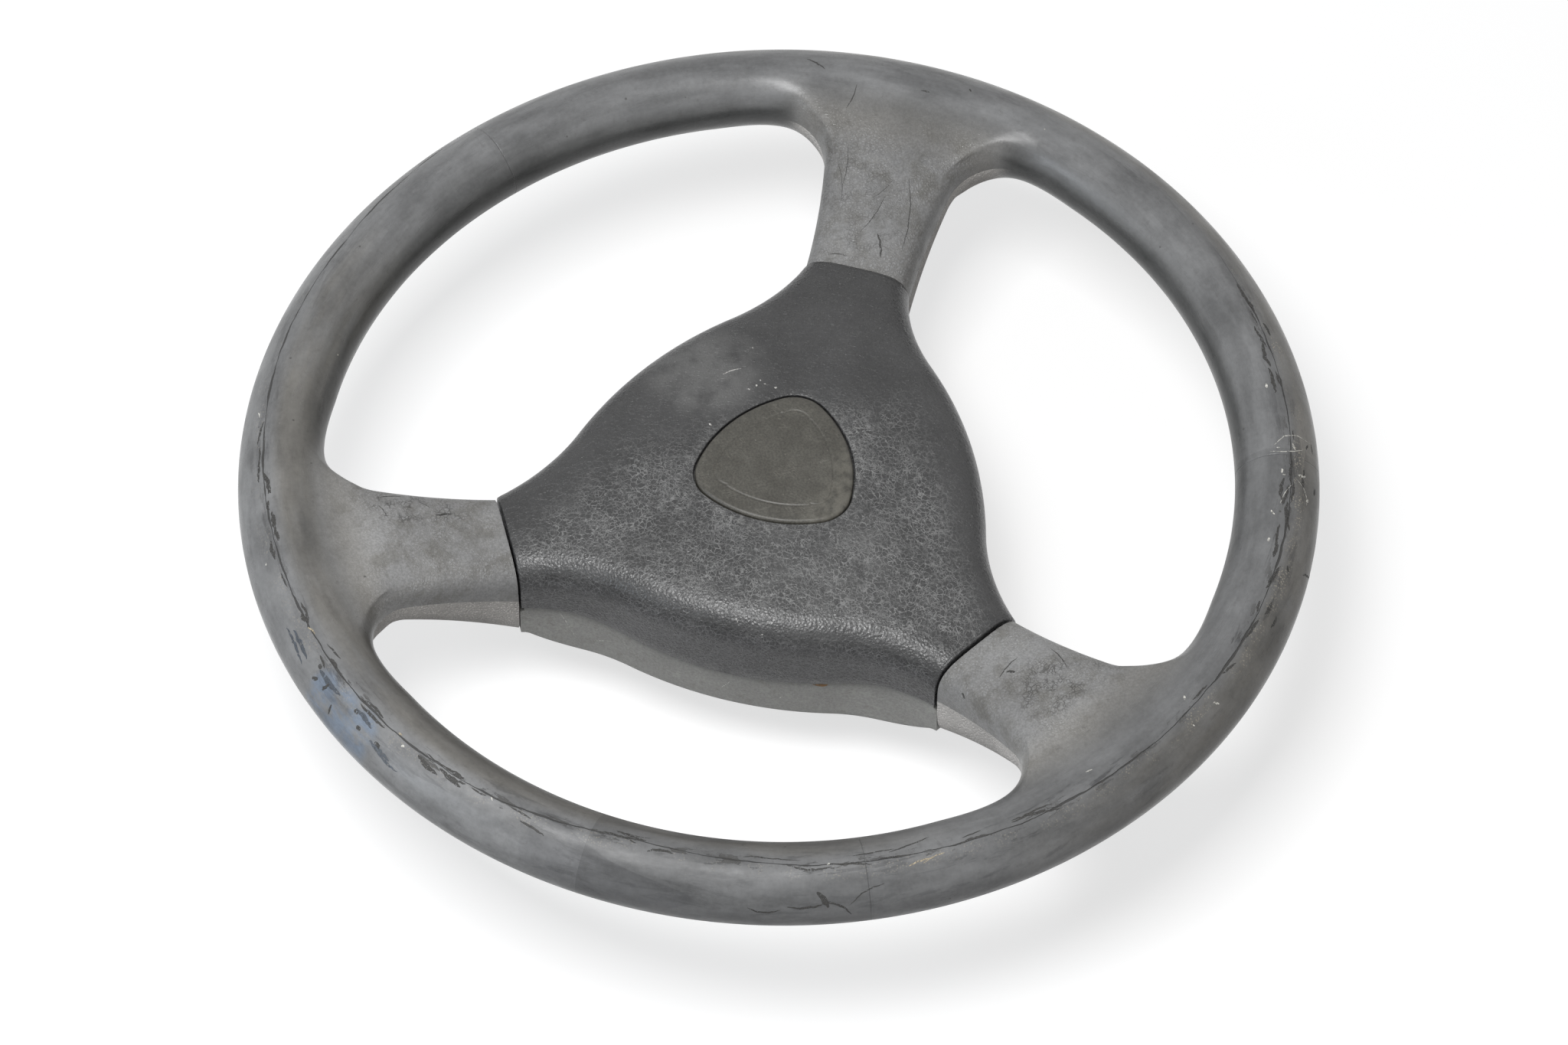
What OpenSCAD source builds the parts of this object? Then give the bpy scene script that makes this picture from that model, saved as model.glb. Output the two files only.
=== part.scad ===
// Three spoke steering wheel with a floating horn pad.
// Z runs along the column towards the driver, Y points to twelve o'clock.
// The origin is on the column's axis, at the rear end of the hub boss.

/* [Rim] */
// Outer diameter of the rim
rim_d = 380; // [350:1:410]
// Width of the rim's section, seen from the front
rim_w = 29.8; // [26:0.2:34]
// Depth of the rim's section, along the column
rim_t = 27.6; // [24:0.2:32]
// Height of the rim's middle plane above the rear end of the boss
rim_rise = 66; // [62:0.5:76]
// Swell of the rim towards each spoke
rim_swell = 0.5; // [0:0.1:1.5]
// Diameter of the steel rod inside the rim
rod_d = 10; // [8:0.5:12]

/* [Spokes] */
// Width of a spoke at the hub
spoke_w = 38.8; // [34:0.2:44]
// Extra width of a spoke where its fillets start
spoke_flare = 8.4; // [4:0.2:14]
// Length from the start of the fillets to the rim's inner circle
fillet_reach = 20.6; // [16:0.2:28]
// Drop of the parting edge below the rim's middle plane, at the hub
hub_drop = 21; // [18:0.5:24]
// Drop of the parting edge where the fillets start
neck_drop = 5.5; // [4:0.5:9]
// Rise of the spoke's face above its parting edge, at the hub
hub_crown = 15.5; // [12:0.5:18]
// Rise of the face where the fillets start
neck_crown = 12; // [9:0.5:14]
// Height of the side wall below the parting edge, at the hub
hub_wall = 22.5; // [18:0.5:24]
// Height of the side wall where the fillets start
neck_wall = 12.5; // [10:0.5:15]
// Inward draft of the side wall
wall_draft = 0.5; // [0.25:0.25:3]
// Width of the steel strap inside a spoke
strap_w = 24; // [18:0.5:28]
// Thickness of the strap
strap_t = 4; // [3:0.25:5]
// Drop of the strap's flat part below the rim's middle plane
strap_drop = 30; // [29.5:0.25:31]

/* [Horn pad] */
// Distance from the axis to the end of a lobe
pad_reach = 98.2; // [90:0.2:106]
// Gap between the end of a lobe and the spoke
joint_gap = 0.8; // [0.4:0.1:2]
// Distance from the axis to the middle of a side
pad_side = 70.2; // [64:0.2:74]
// Radius of the side's bulge
bulge_r = 150; // [120:1:220]
// Radius of the hollow between the side and the lobe
hollow_r = 70; // [60:1:90]
// How far the pad stands outside the spoke, on each side
pad_proud = 0.6; // [0.2:0.1:1.5]
// Height of the pad's middle above the rim's middle plane
pad_top = 3.5; // [1:0.5:8]
// Drop of the face from the middle to the end of a lobe
pad_fall = 7.6; // [4:0.2:10]
// Width of the rolled edge
roll_w = 14; // [10:0.5:16]
// Depth of the rolled edge
roll_d = 12; // [8:0.5:13]
// Drop of the skirt's lower edge below the rim's middle plane, at the lobes
skirt_drop = 24.5; // [23.5:0.25:25]
// Extra drop of the skirt's lower edge in the middle of a side
skirt_dip = 4.5; // [0:0.25:6]
// Thickness of the skirt's lip
lip_t = 0.8; // [0.6:0.1:1.2]
// Drop of the pad's flat back below the rim's middle plane
back_drop = 11.5; // [10.5:0.25:12.5]

/* [Badge] */
// Distance from the badge's middle to its corner
badge_corner = 30.4; // [27:0.1:34]
// Distance from the badge's middle to the middle of its side
badge_side = 25.2; // [23:0.1:26.5]
// Radius of the badge's corners
badge_round = 13; // [10:0.5:16]
// Thickness of the badge
badge_t = 3; // [2:0.25:4]
// Depth of the recess that holds the badge
recess_d = 2.6; // [2:0.1:4]
// Gap round the badge
badge_gap = 0.5; // [0.3:0.1:1]

/* [Horn] */
// Travel of the pad when the horn is pressed
horn_travel = 2.5; // [1:0.25:2.5]
// Thickness of the pad's steel carrier
carrier_t = 1.5; // [1:0.25:2]
// Distance of the carrier's edge inside the pad's outline
carrier_inset = 9; // [8:0.5:12]
// Radius of the circle that the guide bolts stand on
guide_r = 46; // [44:0.5:50]
// Diameter of a bolt's shoulder
shoulder_d = 6; // [5:0.5:7]
// Outer diameter of a horn spring
spring_d = 15; // [14:0.5:17]
// Wire diameter of a horn spring
spring_wire = 1.4; // [1:0.1:1.8]
// Turns of a horn spring
spring_turns = 5; // [4:1:6]
// Diameter of a contact
contact_d = 6; // [4:0.5:7]

/* [Hub] */
// Radius of the bore for the column
bore_r = 8.5; // [7.5:0.25:10]
// Length of the plain part of the bore
pilot_l = 16; // [12:1:18]
// Number of serrations
serrations = 36; // [30:1:48]
// Depth of a serration
serration_d = 0.9; // [0.5:0.1:1.3]
// Diameter of the boss
boss_d = 30; // [28:0.5:34]
// Diameter of the boss's front flange
flange_d = 44; // [42:0.5:46]
// Thickness of the hub plate
plate_t = 4; // [3:0.25:5]
// Radius of the recess for the column's nut
nut_recess_r = 13; // [12:0.5:14]

/* [Rear shroud] */
// Drop of the lower edge of the shroud's wall below the rim's middle plane
shroud_drop = 46.5; // [44:0.5:50]
// Rise of the wall's lower edge towards the end of a lobe
shroud_lift = 6.5; // [0:0.5:8]
// Wall thickness
shroud_t = 2.4; // [1.8:0.1:3]
// Overlap of the shroud's lip inside the skirt
shroud_lap = 5; // [4:0.25:5.5]
// Outer radius of the rear collar
collar_r = 46; // [42:0.5:52]
// Height of the rear collar
collar_h = 7; // [5:0.5:12]
// How far the collar stands out behind the boss
collar_out = 6; // [3:0.5:10]
// Distance from the axis to a shroud screw
shroud_screw_r = 56; // [52:0.5:58]

/* [Cam] */
// Outer diameter of the cam carrier
cam_d = 64; // [60:1:68]
// Thickness of the cam carrier's plate
cam_t = 4; // [3:0.5:5]
// Length of a cancelling lug
lug_l = 15; // [10:1:18]
// Outer diameter of the slip ring
slip_d = 52; // [48:1:54]
// Inner diameter of the slip ring
slip_bore = 38; // [36:1:42]
// Thickness of the slip ring
slip_t = 1.2; // [0.8:0.1:2]

/* [Hidden] */
$fn = 96;
// Running gap between a shoulder and its bush
run_gap = 0.05;
// Gap round a piece that is seated in or moulded over
seat_gap = 0.05;
// Gap between the skirt's lip and the shroud
lip_gap = 0.25;
// How far a cutting tool runs past the piece it cuts, and one shape into the next
cut = 1;
join = 0.5;

spoke_angles = [-90, 30, 150];
side_angles = [-30, 90, 210];

// Steps round the rim, round its section, and to each side of a spoke
rim_steps = 108;
section_steps = 20;
root_steps = 5;
wall_steps = 4;
root_angle = root_steps * 360 / rim_steps;
root_turn = wall_steps * 360 / section_steps;
section_pinch = 0.04;
half_loop = 2 * (root_steps + wall_steps);
loop_n = 2 * half_loop;
blend_rings = 7;
arm_rings = 4;

rim_a = rim_w / 2;
rim_b = rim_t / 2;
rod_circle_r = rim_d / 2 - rim_a;
rim_inner_r = rim_d / 2 - rim_w;

arm_end = pad_reach + joint_gap;
neck_u = rim_inner_r - fillet_reach;
spoke_half = spoke_w / 2;
face_power = 3.9;
wall_power = 4.8;
crease_pull = 1.15;
face_pull = 0.9;

strap_z = rim_rise - strap_drop;
plate_top = strap_z - strap_t / 2;
plate_bottom = plate_top - plate_t;
strap_clear = 2;
strap_start = flange_d / 2 + strap_clear;
strap_bend_r = arm_end + strap_clear;
strap_neck_r = neck_u - 2 * strap_clear;
strap_rim_r = neck_u + 0.9 * fillet_reach;
plate_r = 36;
plate_margin = 9;
arm_plate_r = shroud_screw_r + plate_margin;

pad_face_z = rim_rise + pad_top;
back_z = rim_rise - back_drop;
skirt_z = rim_rise - skirt_drop;
lobe_half = spoke_half + pad_proud;
carrier_z = back_z - carrier_t;

// Turns a point about the column's axis
function turned(p, a) = [p.x * cos(a) - p.y * sin(a), p.x * sin(a) + p.y * cos(a), p.z];
function lifted(p, dz) = [p.x, p.y, p.z + dz];
function unit(v) = v / norm(v);
function mix(a, b, t) = a + (b - a) * t;
function spow(x, p) = sign(x) * pow(abs(x), p);

// A point on the rim's surface, th round the rim from a spoke and ph round the section
function rim_point(th, ph) =
    let (k = 1 - section_pinch * pow(sin(2 * ph), 2),
         r = rod_circle_r + rim_swell * cos(3 * th) + rim_a * k * cos(ph))
    [r * cos(th), r * sin(th), rim_rise + rim_b * k * sin(ph)];

// Place k of the loop round a spoke's root, as shares of the root's half width and half turn
function root_a(k) =
    k <= wall_steps ? 1
    : k <= wall_steps + 2 * root_steps ? 1 - (k - wall_steps) / root_steps
    : k <= half_loop ? -1
    : -root_a(k - half_loop);
function root_b(k) =
    k <= wall_steps ? -k / wall_steps
    : k <= wall_steps + 2 * root_steps ? -1
    : k <= half_loop ? -1 + (k - wall_steps - 2 * root_steps) / wall_steps
    : -root_b(k - half_loop);

// Point k of a spoke's section: half width w, parting edge at z, face rise c, wall height h
function section_point(k, w, z, c, h) =
    k <= half_loop
    ? let (a = 180 * k / half_loop)
      [w * spow(cos(a), 2 / face_power), z + c * pow(abs(sin(a)), 2 / face_power)]
    : let (a = 180 * (k - half_loop) / half_loop, f = pow(abs(sin(a)), 2 / wall_power))
      [-(w - wall_draft * f) * spow(cos(a), 2 / wall_power), z - h * f];

// Point k of the arm between the neck, s = 0, and the hub, s = 1
function arm_point(k, s) =
    let (w = spoke_half + spoke_flare / 2 * pow(1 - s, 2),
         p = section_point(k, w, rim_rise - mix(neck_drop, hub_drop, s),
                           mix(neck_crown, hub_crown, s), mix(neck_wall, hub_wall, s)))
    [mix(neck_u, arm_end, s), p.x, p.y];

// Direction across the root's edge at place k, in the rim's surface
function root_heading(k) =
    let (a = root_a(k), b = root_b(k), th = a * root_angle, ph = 180 + b * root_turn,
         along = unit(rim_point(th + 0.1, ph) - rim_point(th - 0.1, ph)),
         round = unit(rim_point(th, ph + 0.1) - rim_point(th, ph - 0.1)))
    unit(-pow(a, 3) * along - pow(b, 3) * round);

// Point k of the blend between the rim, s = 0, and the neck, s = 1
function blend_point(k, s) =
    let (a = root_a(k), b = root_b(k),
         p0 = rim_point(a * root_angle, 180 + b * root_turn),
         p1 = arm_point(k, 0),
         span = norm(p1 - p0),
         edge = pow(a, 4) * (1 - pow(b, 4)),
         pull = span * mix(face_pull, crease_pull, edge),
         t0 = pull * root_heading(k),
         t1 = pull * unit(arm_point(k, 0.02) - p1))
    (2 * pow(s, 3) - 3 * pow(s, 2) + 1) * p0 + (pow(s, 3) - 2 * pow(s, 2) + s) * t0
    + (3 * pow(s, 2) - 2 * pow(s, 3)) * p1 + (pow(s, 3) - pow(s, 2)) * t1;

function spoke_point(k, r) =
    r <= blend_rings ? blend_point(k, r / blend_rings)
    : arm_point(k, (r - blend_rings) / arm_rings);

// Number of a point: ring 0 of a spoke is part of the rim's own grid
spoke_rings = blend_rings + arm_rings;
rim_count = rim_steps * section_steps;
function rim_index(i, j) = ((i + rim_steps) % rim_steps) * section_steps + j % section_steps;
function spoke_index(n, r, k) =
    r == 0
    ? rim_index(n * rim_steps / 3 + round(root_a(k) * root_steps),
                section_steps / 2 + round(root_b(k) * wall_steps))
    : rim_count + (n * spoke_rings + r - 1) * loop_n + k % loop_n;
function in_root(i, j) =
    let (d = (i + rim_steps / 6) % (rim_steps / 3) - rim_steps / 6)
    d >= -root_steps && d < root_steps
    && j >= section_steps / 2 - wall_steps && j < section_steps / 2 + wall_steps;

// The moulded skin of the rim and the three spokes, one closed surface
module grip_skin() {
    points = concat(
        [for (i = [0:rim_steps - 1], j = [0:section_steps - 1])
            turned(rim_point(i * 360 / rim_steps, j * 360 / section_steps), spoke_angles[0])],
        [for (n = [0:2], r = [1:spoke_rings], k = [0:loop_n - 1])
            turned(spoke_point(k, r), spoke_angles[n])]);
    faces = concat(
        [for (i = [0:rim_steps - 1], j = [0:section_steps - 1]) if (!in_root(i, j))
            for (t = [[0, 3, 1], [0, 2, 3]])
                [for (q = t) rim_index(i + q % 2, j + floor(q / 2))]],
        [for (n = [0:2], r = [0:spoke_rings - 1], k = [0:loop_n - 1])
            for (t = [[0, 3, 2], [0, 1, 3]])
                [for (q = t) spoke_index(n, r + floor(q / 2), (k + q % 2) % loop_n)]],
        [for (n = [0:2]) [for (k = [0:loop_n - 1]) spoke_index(n, spoke_rings, k)]]);
    polyhedron(points, faces, convexity = 8);
}

// Centre line of a strap: distance from the axis, height
strap_line = [
    [strap_start, strap_z],
    [strap_bend_r, strap_z],
    [strap_neck_r, rim_rise - neck_drop],
    [strap_rim_r, rim_rise - strap_clear],
    [rod_circle_r - rod_d / 2, rim_rise],
];
function line_normal(a, b) = let (d = unit(b - a)) [-d.y, d.x];
function mitre(i, line) =
    let (last = len(line) - 1,
         n0 = line_normal(line[max(i - 1, 0)], line[max(i, 1)]),
         n1 = line_normal(line[min(i, last - 1)], line[min(i + 1, last)]))
    (n0 + n1) / (1 + n0 * n1);
function strap_profile(t) = concat(
    [for (i = [0:len(strap_line) - 1]) strap_line[i] + mitre(i, strap_line) * t / 2],
    [for (i = [len(strap_line) - 1:-1:0]) strap_line[i] - mitre(i, strap_line) * t / 2]);

// A strap's bent strip along X, cut back to the rod, with a gap added on every side
module strap_strip(gap) {
    difference() {
        translate([0, strap_w / 2 + gap, 0])
            rotate([90, 0, 0])
                linear_extrude(strap_w + 2 * gap)
                    polygon(strap_profile(strap_t + 2 * gap));
        rod(seat_gap);
    }
}

module rod(gap) {
    translate([0, 0, rim_rise])
        rotate_extrude()
            translate([rod_circle_r, 0])
                circle(r = rod_d / 2 + gap);
}

module rim_grip() {
    color("dimgray")
        difference() {
            grip_skin();
            rod(seat_gap);
            for (a = spoke_angles)
                rotate(a)
                    strap_strip(seat_gap);
        }
}

module rim_core() {
    color("silver")
        rod(0);
}

module spoke_strap(n) {
    color("silver")
        difference() {
            rotate(spoke_angles[n])
                strap_strip(0);
            rotate(spoke_angles[n])
                translate([shroud_screw_r, 0, strap_z])
                    cylinder(h = 3 * strap_t, r = screw_r + seat_gap, center = true);
        }
}

// Pad outline
// Everything is worked out in the frame of one lobe, which points along X.
bulge_c = (pad_side - bulge_r) * [cos(60), sin(60)];
lobe_corner = [pad_reach, lobe_half];
corner_span = norm(lobe_corner - bulge_c);
corner_way = unit(lobe_corner - bulge_c);
corner_along = (pow(corner_span, 2) + pow(bulge_r + hollow_r, 2) - pow(hollow_r, 2))
    / (2 * corner_span);
corner_off = sqrt(pow(bulge_r + hollow_r, 2) - pow(corner_along, 2));
hollow_c = bulge_c + corner_along * corner_way + corner_off * [-corner_way.y, corner_way.x];
tangent_way = unit(hollow_c - bulge_c);
tangent_angle = atan2(tangent_way.y, tangent_way.x);

bulge_steps = 5;
hollow_steps = 6;
end_steps = 3;
half_sector = bulge_steps + hollow_steps + end_steps;
outline_n = 6 * half_sector;

// Half width of a lobe at distance u, with the outline moved in by e
function lobe_width(u, e) =
    hollow_c.y - sqrt(pow(hollow_r + e, 2) - pow(u - hollow_c.x, 2));

// Point m of half a sector, from the middle of a side to the middle of a lobe's end.
// e moves the sides in, f moves the ends in.
function sector_point(m, e, f) =
    let (u = pad_reach - f, v = lobe_width(u, e))
    m <= bulge_steps
    ? let (a = mix(60, tangent_angle, m / bulge_steps))
      bulge_c + (bulge_r - e) * [cos(a), sin(a)]
    : m <= bulge_steps + hollow_steps
    ? let (a0 = tangent_angle + 180,
           a1 = atan2(v - hollow_c.y, u - hollow_c.x) + 360,
           a = mix(a0, a1, (m - bulge_steps) / hollow_steps))
      hollow_c + (hollow_r + e) * [cos(a), sin(a)]
    : [u, v * (1 - (m - bulge_steps - hollow_steps) / end_steps)];

// How far a point of the outline lies inside the lobe's side, for its rolled edge
function sector_inset(m, e, f) =
    m <= bulge_steps + hollow_steps ? e
    : e + lobe_width(pad_reach - f, e) * (m - bulge_steps - hollow_steps) / end_steps;

function fold(i) = let (q = i % (2 * half_sector)) q <= half_sector ? q : 2 * half_sector - q;
function flip(i) = i % (2 * half_sector) <= half_sector ? 1 : -1;

// Point i of the whole outline, which starts at the middle of a side and runs forwards
function outline_point(i, e, f) =
    let (p = sector_point(fold(i), e, f),
         lobe = floor(i / (2 * half_sector)),
         q = turned([p.x, -flip(i) * p.y, 0], spoke_angles[0] + 120 * lobe))
    [q.x, q.y];
function outline(e, f) = [for (i = [0:outline_n - 1]) outline_point(i, e, f)];

// Height of the pad's face at distance r, before its edge is rolled
fall_power = 1.3;
function face_z(r) =
    let (share = max(r - badge_corner, 0) / (pad_reach - badge_corner))
    pad_face_z - pad_fall * pow(share, fall_power);
roll_power = 2.5;
function roll_in(a) = roll_w * (1 - pow(cos(a), 2 / roll_power));
function roll_drop(x) =
    x >= roll_w ? 0
    : roll_d * (1 - pow(1 - pow(1 - x / roll_w, roll_power), 1 / roll_power));

// Rounded triangle of the badge: distance of its edge at polar angle a, grown by g
badge_k = badge_corner - badge_round;
badge_side_r = (pow(badge_k, 2) - badge_k * badge_side + pow(badge_side, 2)
    - pow(badge_round, 2)) / (2 * badge_side - badge_k - 2 * badge_round);
badge_side_c = badge_side - badge_side_r;
badge_turn = atan2(badge_k * sin(60), badge_k * cos(60) - badge_side_c);
badge_switch = atan2(badge_side_r * sin(badge_turn),
                     badge_side_c + badge_side_r * cos(badge_turn));
function badge_r(a, g) =
    let (d = abs(((a + 90 + 60) % 120 + 120) % 120 - 60), s = 60 - d)
    s < badge_switch
    ? badge_side_c * cos(s) + sqrt(pow(badge_side_r + g, 2) - pow(badge_side_c * sin(s), 2))
    : badge_k * cos(d) + sqrt(pow(badge_round + g, 2) - pow(badge_k * sin(d), 2));
function polar(p) = atan2(p.y, p.x);

// One ring of the pad's face: the rolled edge at angle a of its section
function edge_ring(a, f, cut) =
    let (e = roll_in(a))
    [for (i = [0:outline_n - 1])
        let (p = outline_point(i, e, f))
        [p.x, p.y, face_z(norm(p)) - roll_drop(sector_inset(fold(i), e, f)) - cut]];
// One ring between the rolled edge and the badge's recess
function face_ring(t) =
    [for (i = [0:outline_n - 1])
        let (p = outline_point(i, roll_w, edge_round), a = polar(p),
             q = badge_r(a, badge_gap) * [cos(a), sin(a)], m = mix(p, q, t))
        [m.x, m.y, face_z(norm(m))]];
function flat_ring(e, f, z) =
    [for (i = [0:outline_n - 1]) let (p = outline_point(i, e, f)) [p.x, p.y, z]];
// How far point p of the outline is from the middle of a side towards the end of a lobe, 0 to 1
function lobe_share(p) =
    max(0, min(1, (norm([p.x, p.y]) - pad_side) / (pad_reach - pad_side)));
// The skirt's lower edge, which dips in the middle of each side
dip_end = 0.55;
function skirt_ring(e) =
    [for (p = flat_ring(e, e, skirt_z))
        lifted(p, -skirt_dip * pow(max(0, 1 - lobe_share(p) / dip_end), 1.3))];
function badge_ring(g, z) =
    [for (i = [0:outline_n - 1])
        let (a = polar(outline_point(i, roll_w, edge_round)), r = badge_r(a, g))
        [r * cos(a), r * sin(a), z]];

// The rolled edge: turns of its section within the soft lower corner, then above it
edge_round = 1.2;
soft_turns = [0, 12, 28];
soft_in = [0, 0.15, 0.5];
soft_cut = [1, 0.5, 0.15];
roll_turns = [46, 66, 90];
face_rings = 3;
stop_clear = 0.5;
rebate_h = shroud_lap + horn_travel + stop_clear;
skirt_t = 2.6;
pad_back_inset = 6;
pad_back_step = 4;
recess_z = pad_face_z - recess_d;
badge_z = recess_z + badge_t;
badge_bevel = 1.4;
badge_crown = 0.5;

// Closed skin through a stack of rings with the same number of points
module ring_stack(rings) {
    n = len(rings[0]);
    last = len(rings) - 1;
    points = [for (ring = rings, p = ring) p];
    faces = concat(
        [for (r = [0:last - 1], k = [0:n - 1])
            for (t = [[0, 3, 1], [0, 2, 3]])
                [for (q = t) (r + floor(q / 2)) * n + (k + q % 2) % n]],
        [[for (k = [0:n - 1]) k]],
        [[for (k = [n - 1:-1:0]) last * n + k]]);
    polyhedron(points, faces, convexity = 8);
}

module pad_cover() {
    color("#2b2b2b")
        difference() {
            ring_stack(concat(
                [flat_ring(pad_back_inset, pad_back_inset, back_z)],
                [flat_ring(skirt_t, skirt_t, back_z - pad_back_step)],
                [flat_ring(skirt_t, skirt_t, skirt_z + rebate_h)],
                [flat_ring(lip_t, lip_t, skirt_z + rebate_h)],
                [skirt_ring(lip_t)],
                [skirt_ring(0)],
                [for (i = [0:2])
                    edge_ring(soft_turns[i], soft_in[i] * edge_round,
                              soft_cut[i] * edge_round)],
                [for (a = roll_turns) edge_ring(a, edge_round, 0)],
                [for (t = [1:face_rings]) face_ring(t / face_rings)],
                [badge_ring(badge_gap, recess_z)]));
            for (a = spoke_angles)
                rotate(a)
                    translate([pad_screw_r, 0, back_z - cut])
                        cylinder(h = pad_screw_l + cut, r = pad_screw_hole);
        }
}

module badge() {
    color("#4a4a45")
        ring_stack([
            badge_ring(0, recess_z),
            badge_ring(0, badge_z - badge_bevel),
            badge_ring(-0.3 * badge_bevel, badge_z - 0.3 * badge_bevel),
            badge_ring(-badge_bevel, badge_z),
            badge_ring(-5 * badge_bevel, badge_z + badge_crown),
        ]);
}

// Horn mechanism
block_clear = 2;
block_margin = 2;
block_in = flange_d / 2 + block_clear;
contact_r = block_in + block_margin + contact_d / 2;
pad_screw_r = 42;
pad_screw_l = 6;
pad_screw_hole = 1.8;
pad_head_r = 3.6;
pad_head_h = 2;
nut_h = 3;
nut_r = 4.6;
stub_r = 2;
shoulder_top = carrier_z - nut_h;
block_t = 2;
block_top = plate_top + block_t;
bush_wall = 1.6;
bush_r = shoulder_d / 2 + bush_wall;
bush_end = plate_bottom - 1;
head_h = 3;
head_r = shoulder_d / 2 + 2;
key_r = 2.2;
key_depth = 1.6;

module pad_carrier() {
    color("slategray")
        difference() {
            union() {
                translate([0, 0, carrier_z])
                    linear_extrude(carrier_t)
                        polygon(outline(carrier_inset, carrier_inset));
                for (a = side_angles)
                    rotate(a)
                        translate([guide_r, 0, shoulder_top])
                            cylinder(h = nut_h + join, r = nut_r, $fn = 6);
            }
            for (a = side_angles)
                rotate(a) {
                    translate([guide_r, 0, shoulder_top - cut])
                        cylinder(h = nut_h + carrier_t + 2 * cut, r = stub_r + seat_gap);
                    translate([contact_r, 0, carrier_z - cut])
                        cylinder(h = carrier_t + 2 * cut, r = rivet_r + seat_gap);
                }
            for (a = spoke_angles)
                rotate(a)
                    translate([pad_screw_r, 0, carrier_z - cut])
                        cylinder(h = carrier_t + 2 * cut, r = pad_screw_hole);
        }
}

module pad_screws() {
    color("gray")
        for (a = spoke_angles)
            rotate(a)
                translate([pad_screw_r, 0, carrier_z]) {
                    translate([0, 0, -pad_head_h])
                        cylinder(h = pad_head_h, r = pad_head_r);
                    translate([0, 0, -join])
                        cylinder(h = carrier_t + pad_screw_l, r = pad_screw_hole - seat_gap);
                }
}

module shoulder_bolt(n) {
    head_z = bush_end - run_gap - head_h;
    color("gray")
        rotate(side_angles[n])
            translate([guide_r, 0, 0])
                difference() {
                    union() {
                        translate([0, 0, head_z])
                            cylinder(h = head_h, r = head_r);
                        translate([0, 0, head_z + head_h - join])
                            cylinder(h = shoulder_top - head_z - head_h + join,
                                     r = shoulder_d / 2);
                        translate([0, 0, shoulder_top - join])
                            cylinder(h = nut_h + carrier_t + join, r = stub_r);
                    }
                    translate([0, 0, head_z - cut])
                        cylinder(h = key_depth + cut, r = key_r, $fn = 6);
                }
}

// Moulded plate that insulates a contact from the hub and guides a bolt
block_half = 8.5;
cup_wall = 1.5;
cup_floor = 0.8;

module guide_block(n) {
    color("ivory")
        rotate(side_angles[n])
            difference() {
                union() {
                    translate([block_in, -block_half, plate_top])
                        cube([guide_r - block_in, 2 * block_half, block_t]);
                    translate([guide_r, 0, plate_top])
                        cylinder(h = block_t, r = block_half);
                    translate([guide_r, 0, bush_end])
                        cylinder(h = block_top - bush_end, r = bush_r);
                    translate([contact_r, 0, plate_top])
                        cylinder(h = block_t + cup_wall, r = contact_d / 2 + cup_wall);
                }
                translate([guide_r, 0, bush_end - cut])
                    cylinder(h = block_top - bush_end + 2 * cut,
                             r = shoulder_d / 2 + run_gap);
                translate([contact_r, 0, plate_top + cup_floor])
                    cylinder(h = block_t + cup_wall, r = contact_d / 2 + seat_gap);
            }
}

contact_h = 3;
contact_bevel = 1;
contact_tip = carrier_z - contact_h;
contact_meet = contact_tip - horn_travel - run_gap;
contact_foot = plate_top + cup_floor;
rivet_r = 1.5;

module fixed_contact(n) {
    color("goldenrod")
        rotate(side_angles[n])
            translate([contact_r, 0, contact_foot]) {
                cylinder(h = contact_meet - contact_bevel - contact_foot, r = contact_d / 2);
                translate([0, 0, contact_meet - contact_bevel - contact_foot])
                    cylinder(h = contact_bevel, r1 = contact_d / 2,
                             r2 = contact_d / 2 - contact_bevel);
            }
}

module moving_contact(n) {
    color("goldenrod")
        rotate(side_angles[n])
            translate([contact_r, 0, contact_tip]) {
                cylinder(h = contact_bevel, r1 = contact_d / 2 - contact_bevel,
                         r2 = contact_d / 2);
                translate([0, 0, contact_bevel])
                    cylinder(h = contact_h - contact_bevel, r = contact_d / 2);
                translate([0, 0, contact_bevel])
                    cylinder(h = contact_h - contact_bevel + carrier_t, r = rivet_r);
            }
}

// Compression spring with closed ends, from the guide block to the carrier
spring_steps = 12;
spring_sides = 6;
spring_low = block_top + spring_wire / 2;
spring_high = carrier_z - spring_wire / 2;
function spring_z(t) =
    let (low = spring_low + spring_wire * min(t * spring_turns, 1),
         high = spring_high - spring_wire * min((1 - t) * spring_turns, 1),
         share = (t * spring_turns - 1) / (spring_turns - 2))
    mix(low, high, min(max(share, 0), 1));

module horn_spring(n) {
    mean_r = (spring_d - spring_wire) / 2;
    count = spring_turns * spring_steps;
    rings = [for (s = [0:count])
        let (t = s / count, a = 360 * spring_turns * t)
        [for (k = [0:spring_sides - 1])
            let (b = 90 - 360 * k / spring_sides, r = mean_r + spring_wire / 2 * cos(b))
            [r * cos(a), r * sin(a), spring_z(t) + spring_wire / 2 * sin(b)]]];
    color("lightgray")
        rotate(side_angles[n])
            translate([guide_r, 0, 0])
                ring_stack(rings);
}

// Hub
screw_r = 2.4;
ear_half = 10;
nut_sink = 2;
serration_in = 0.15;

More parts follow.
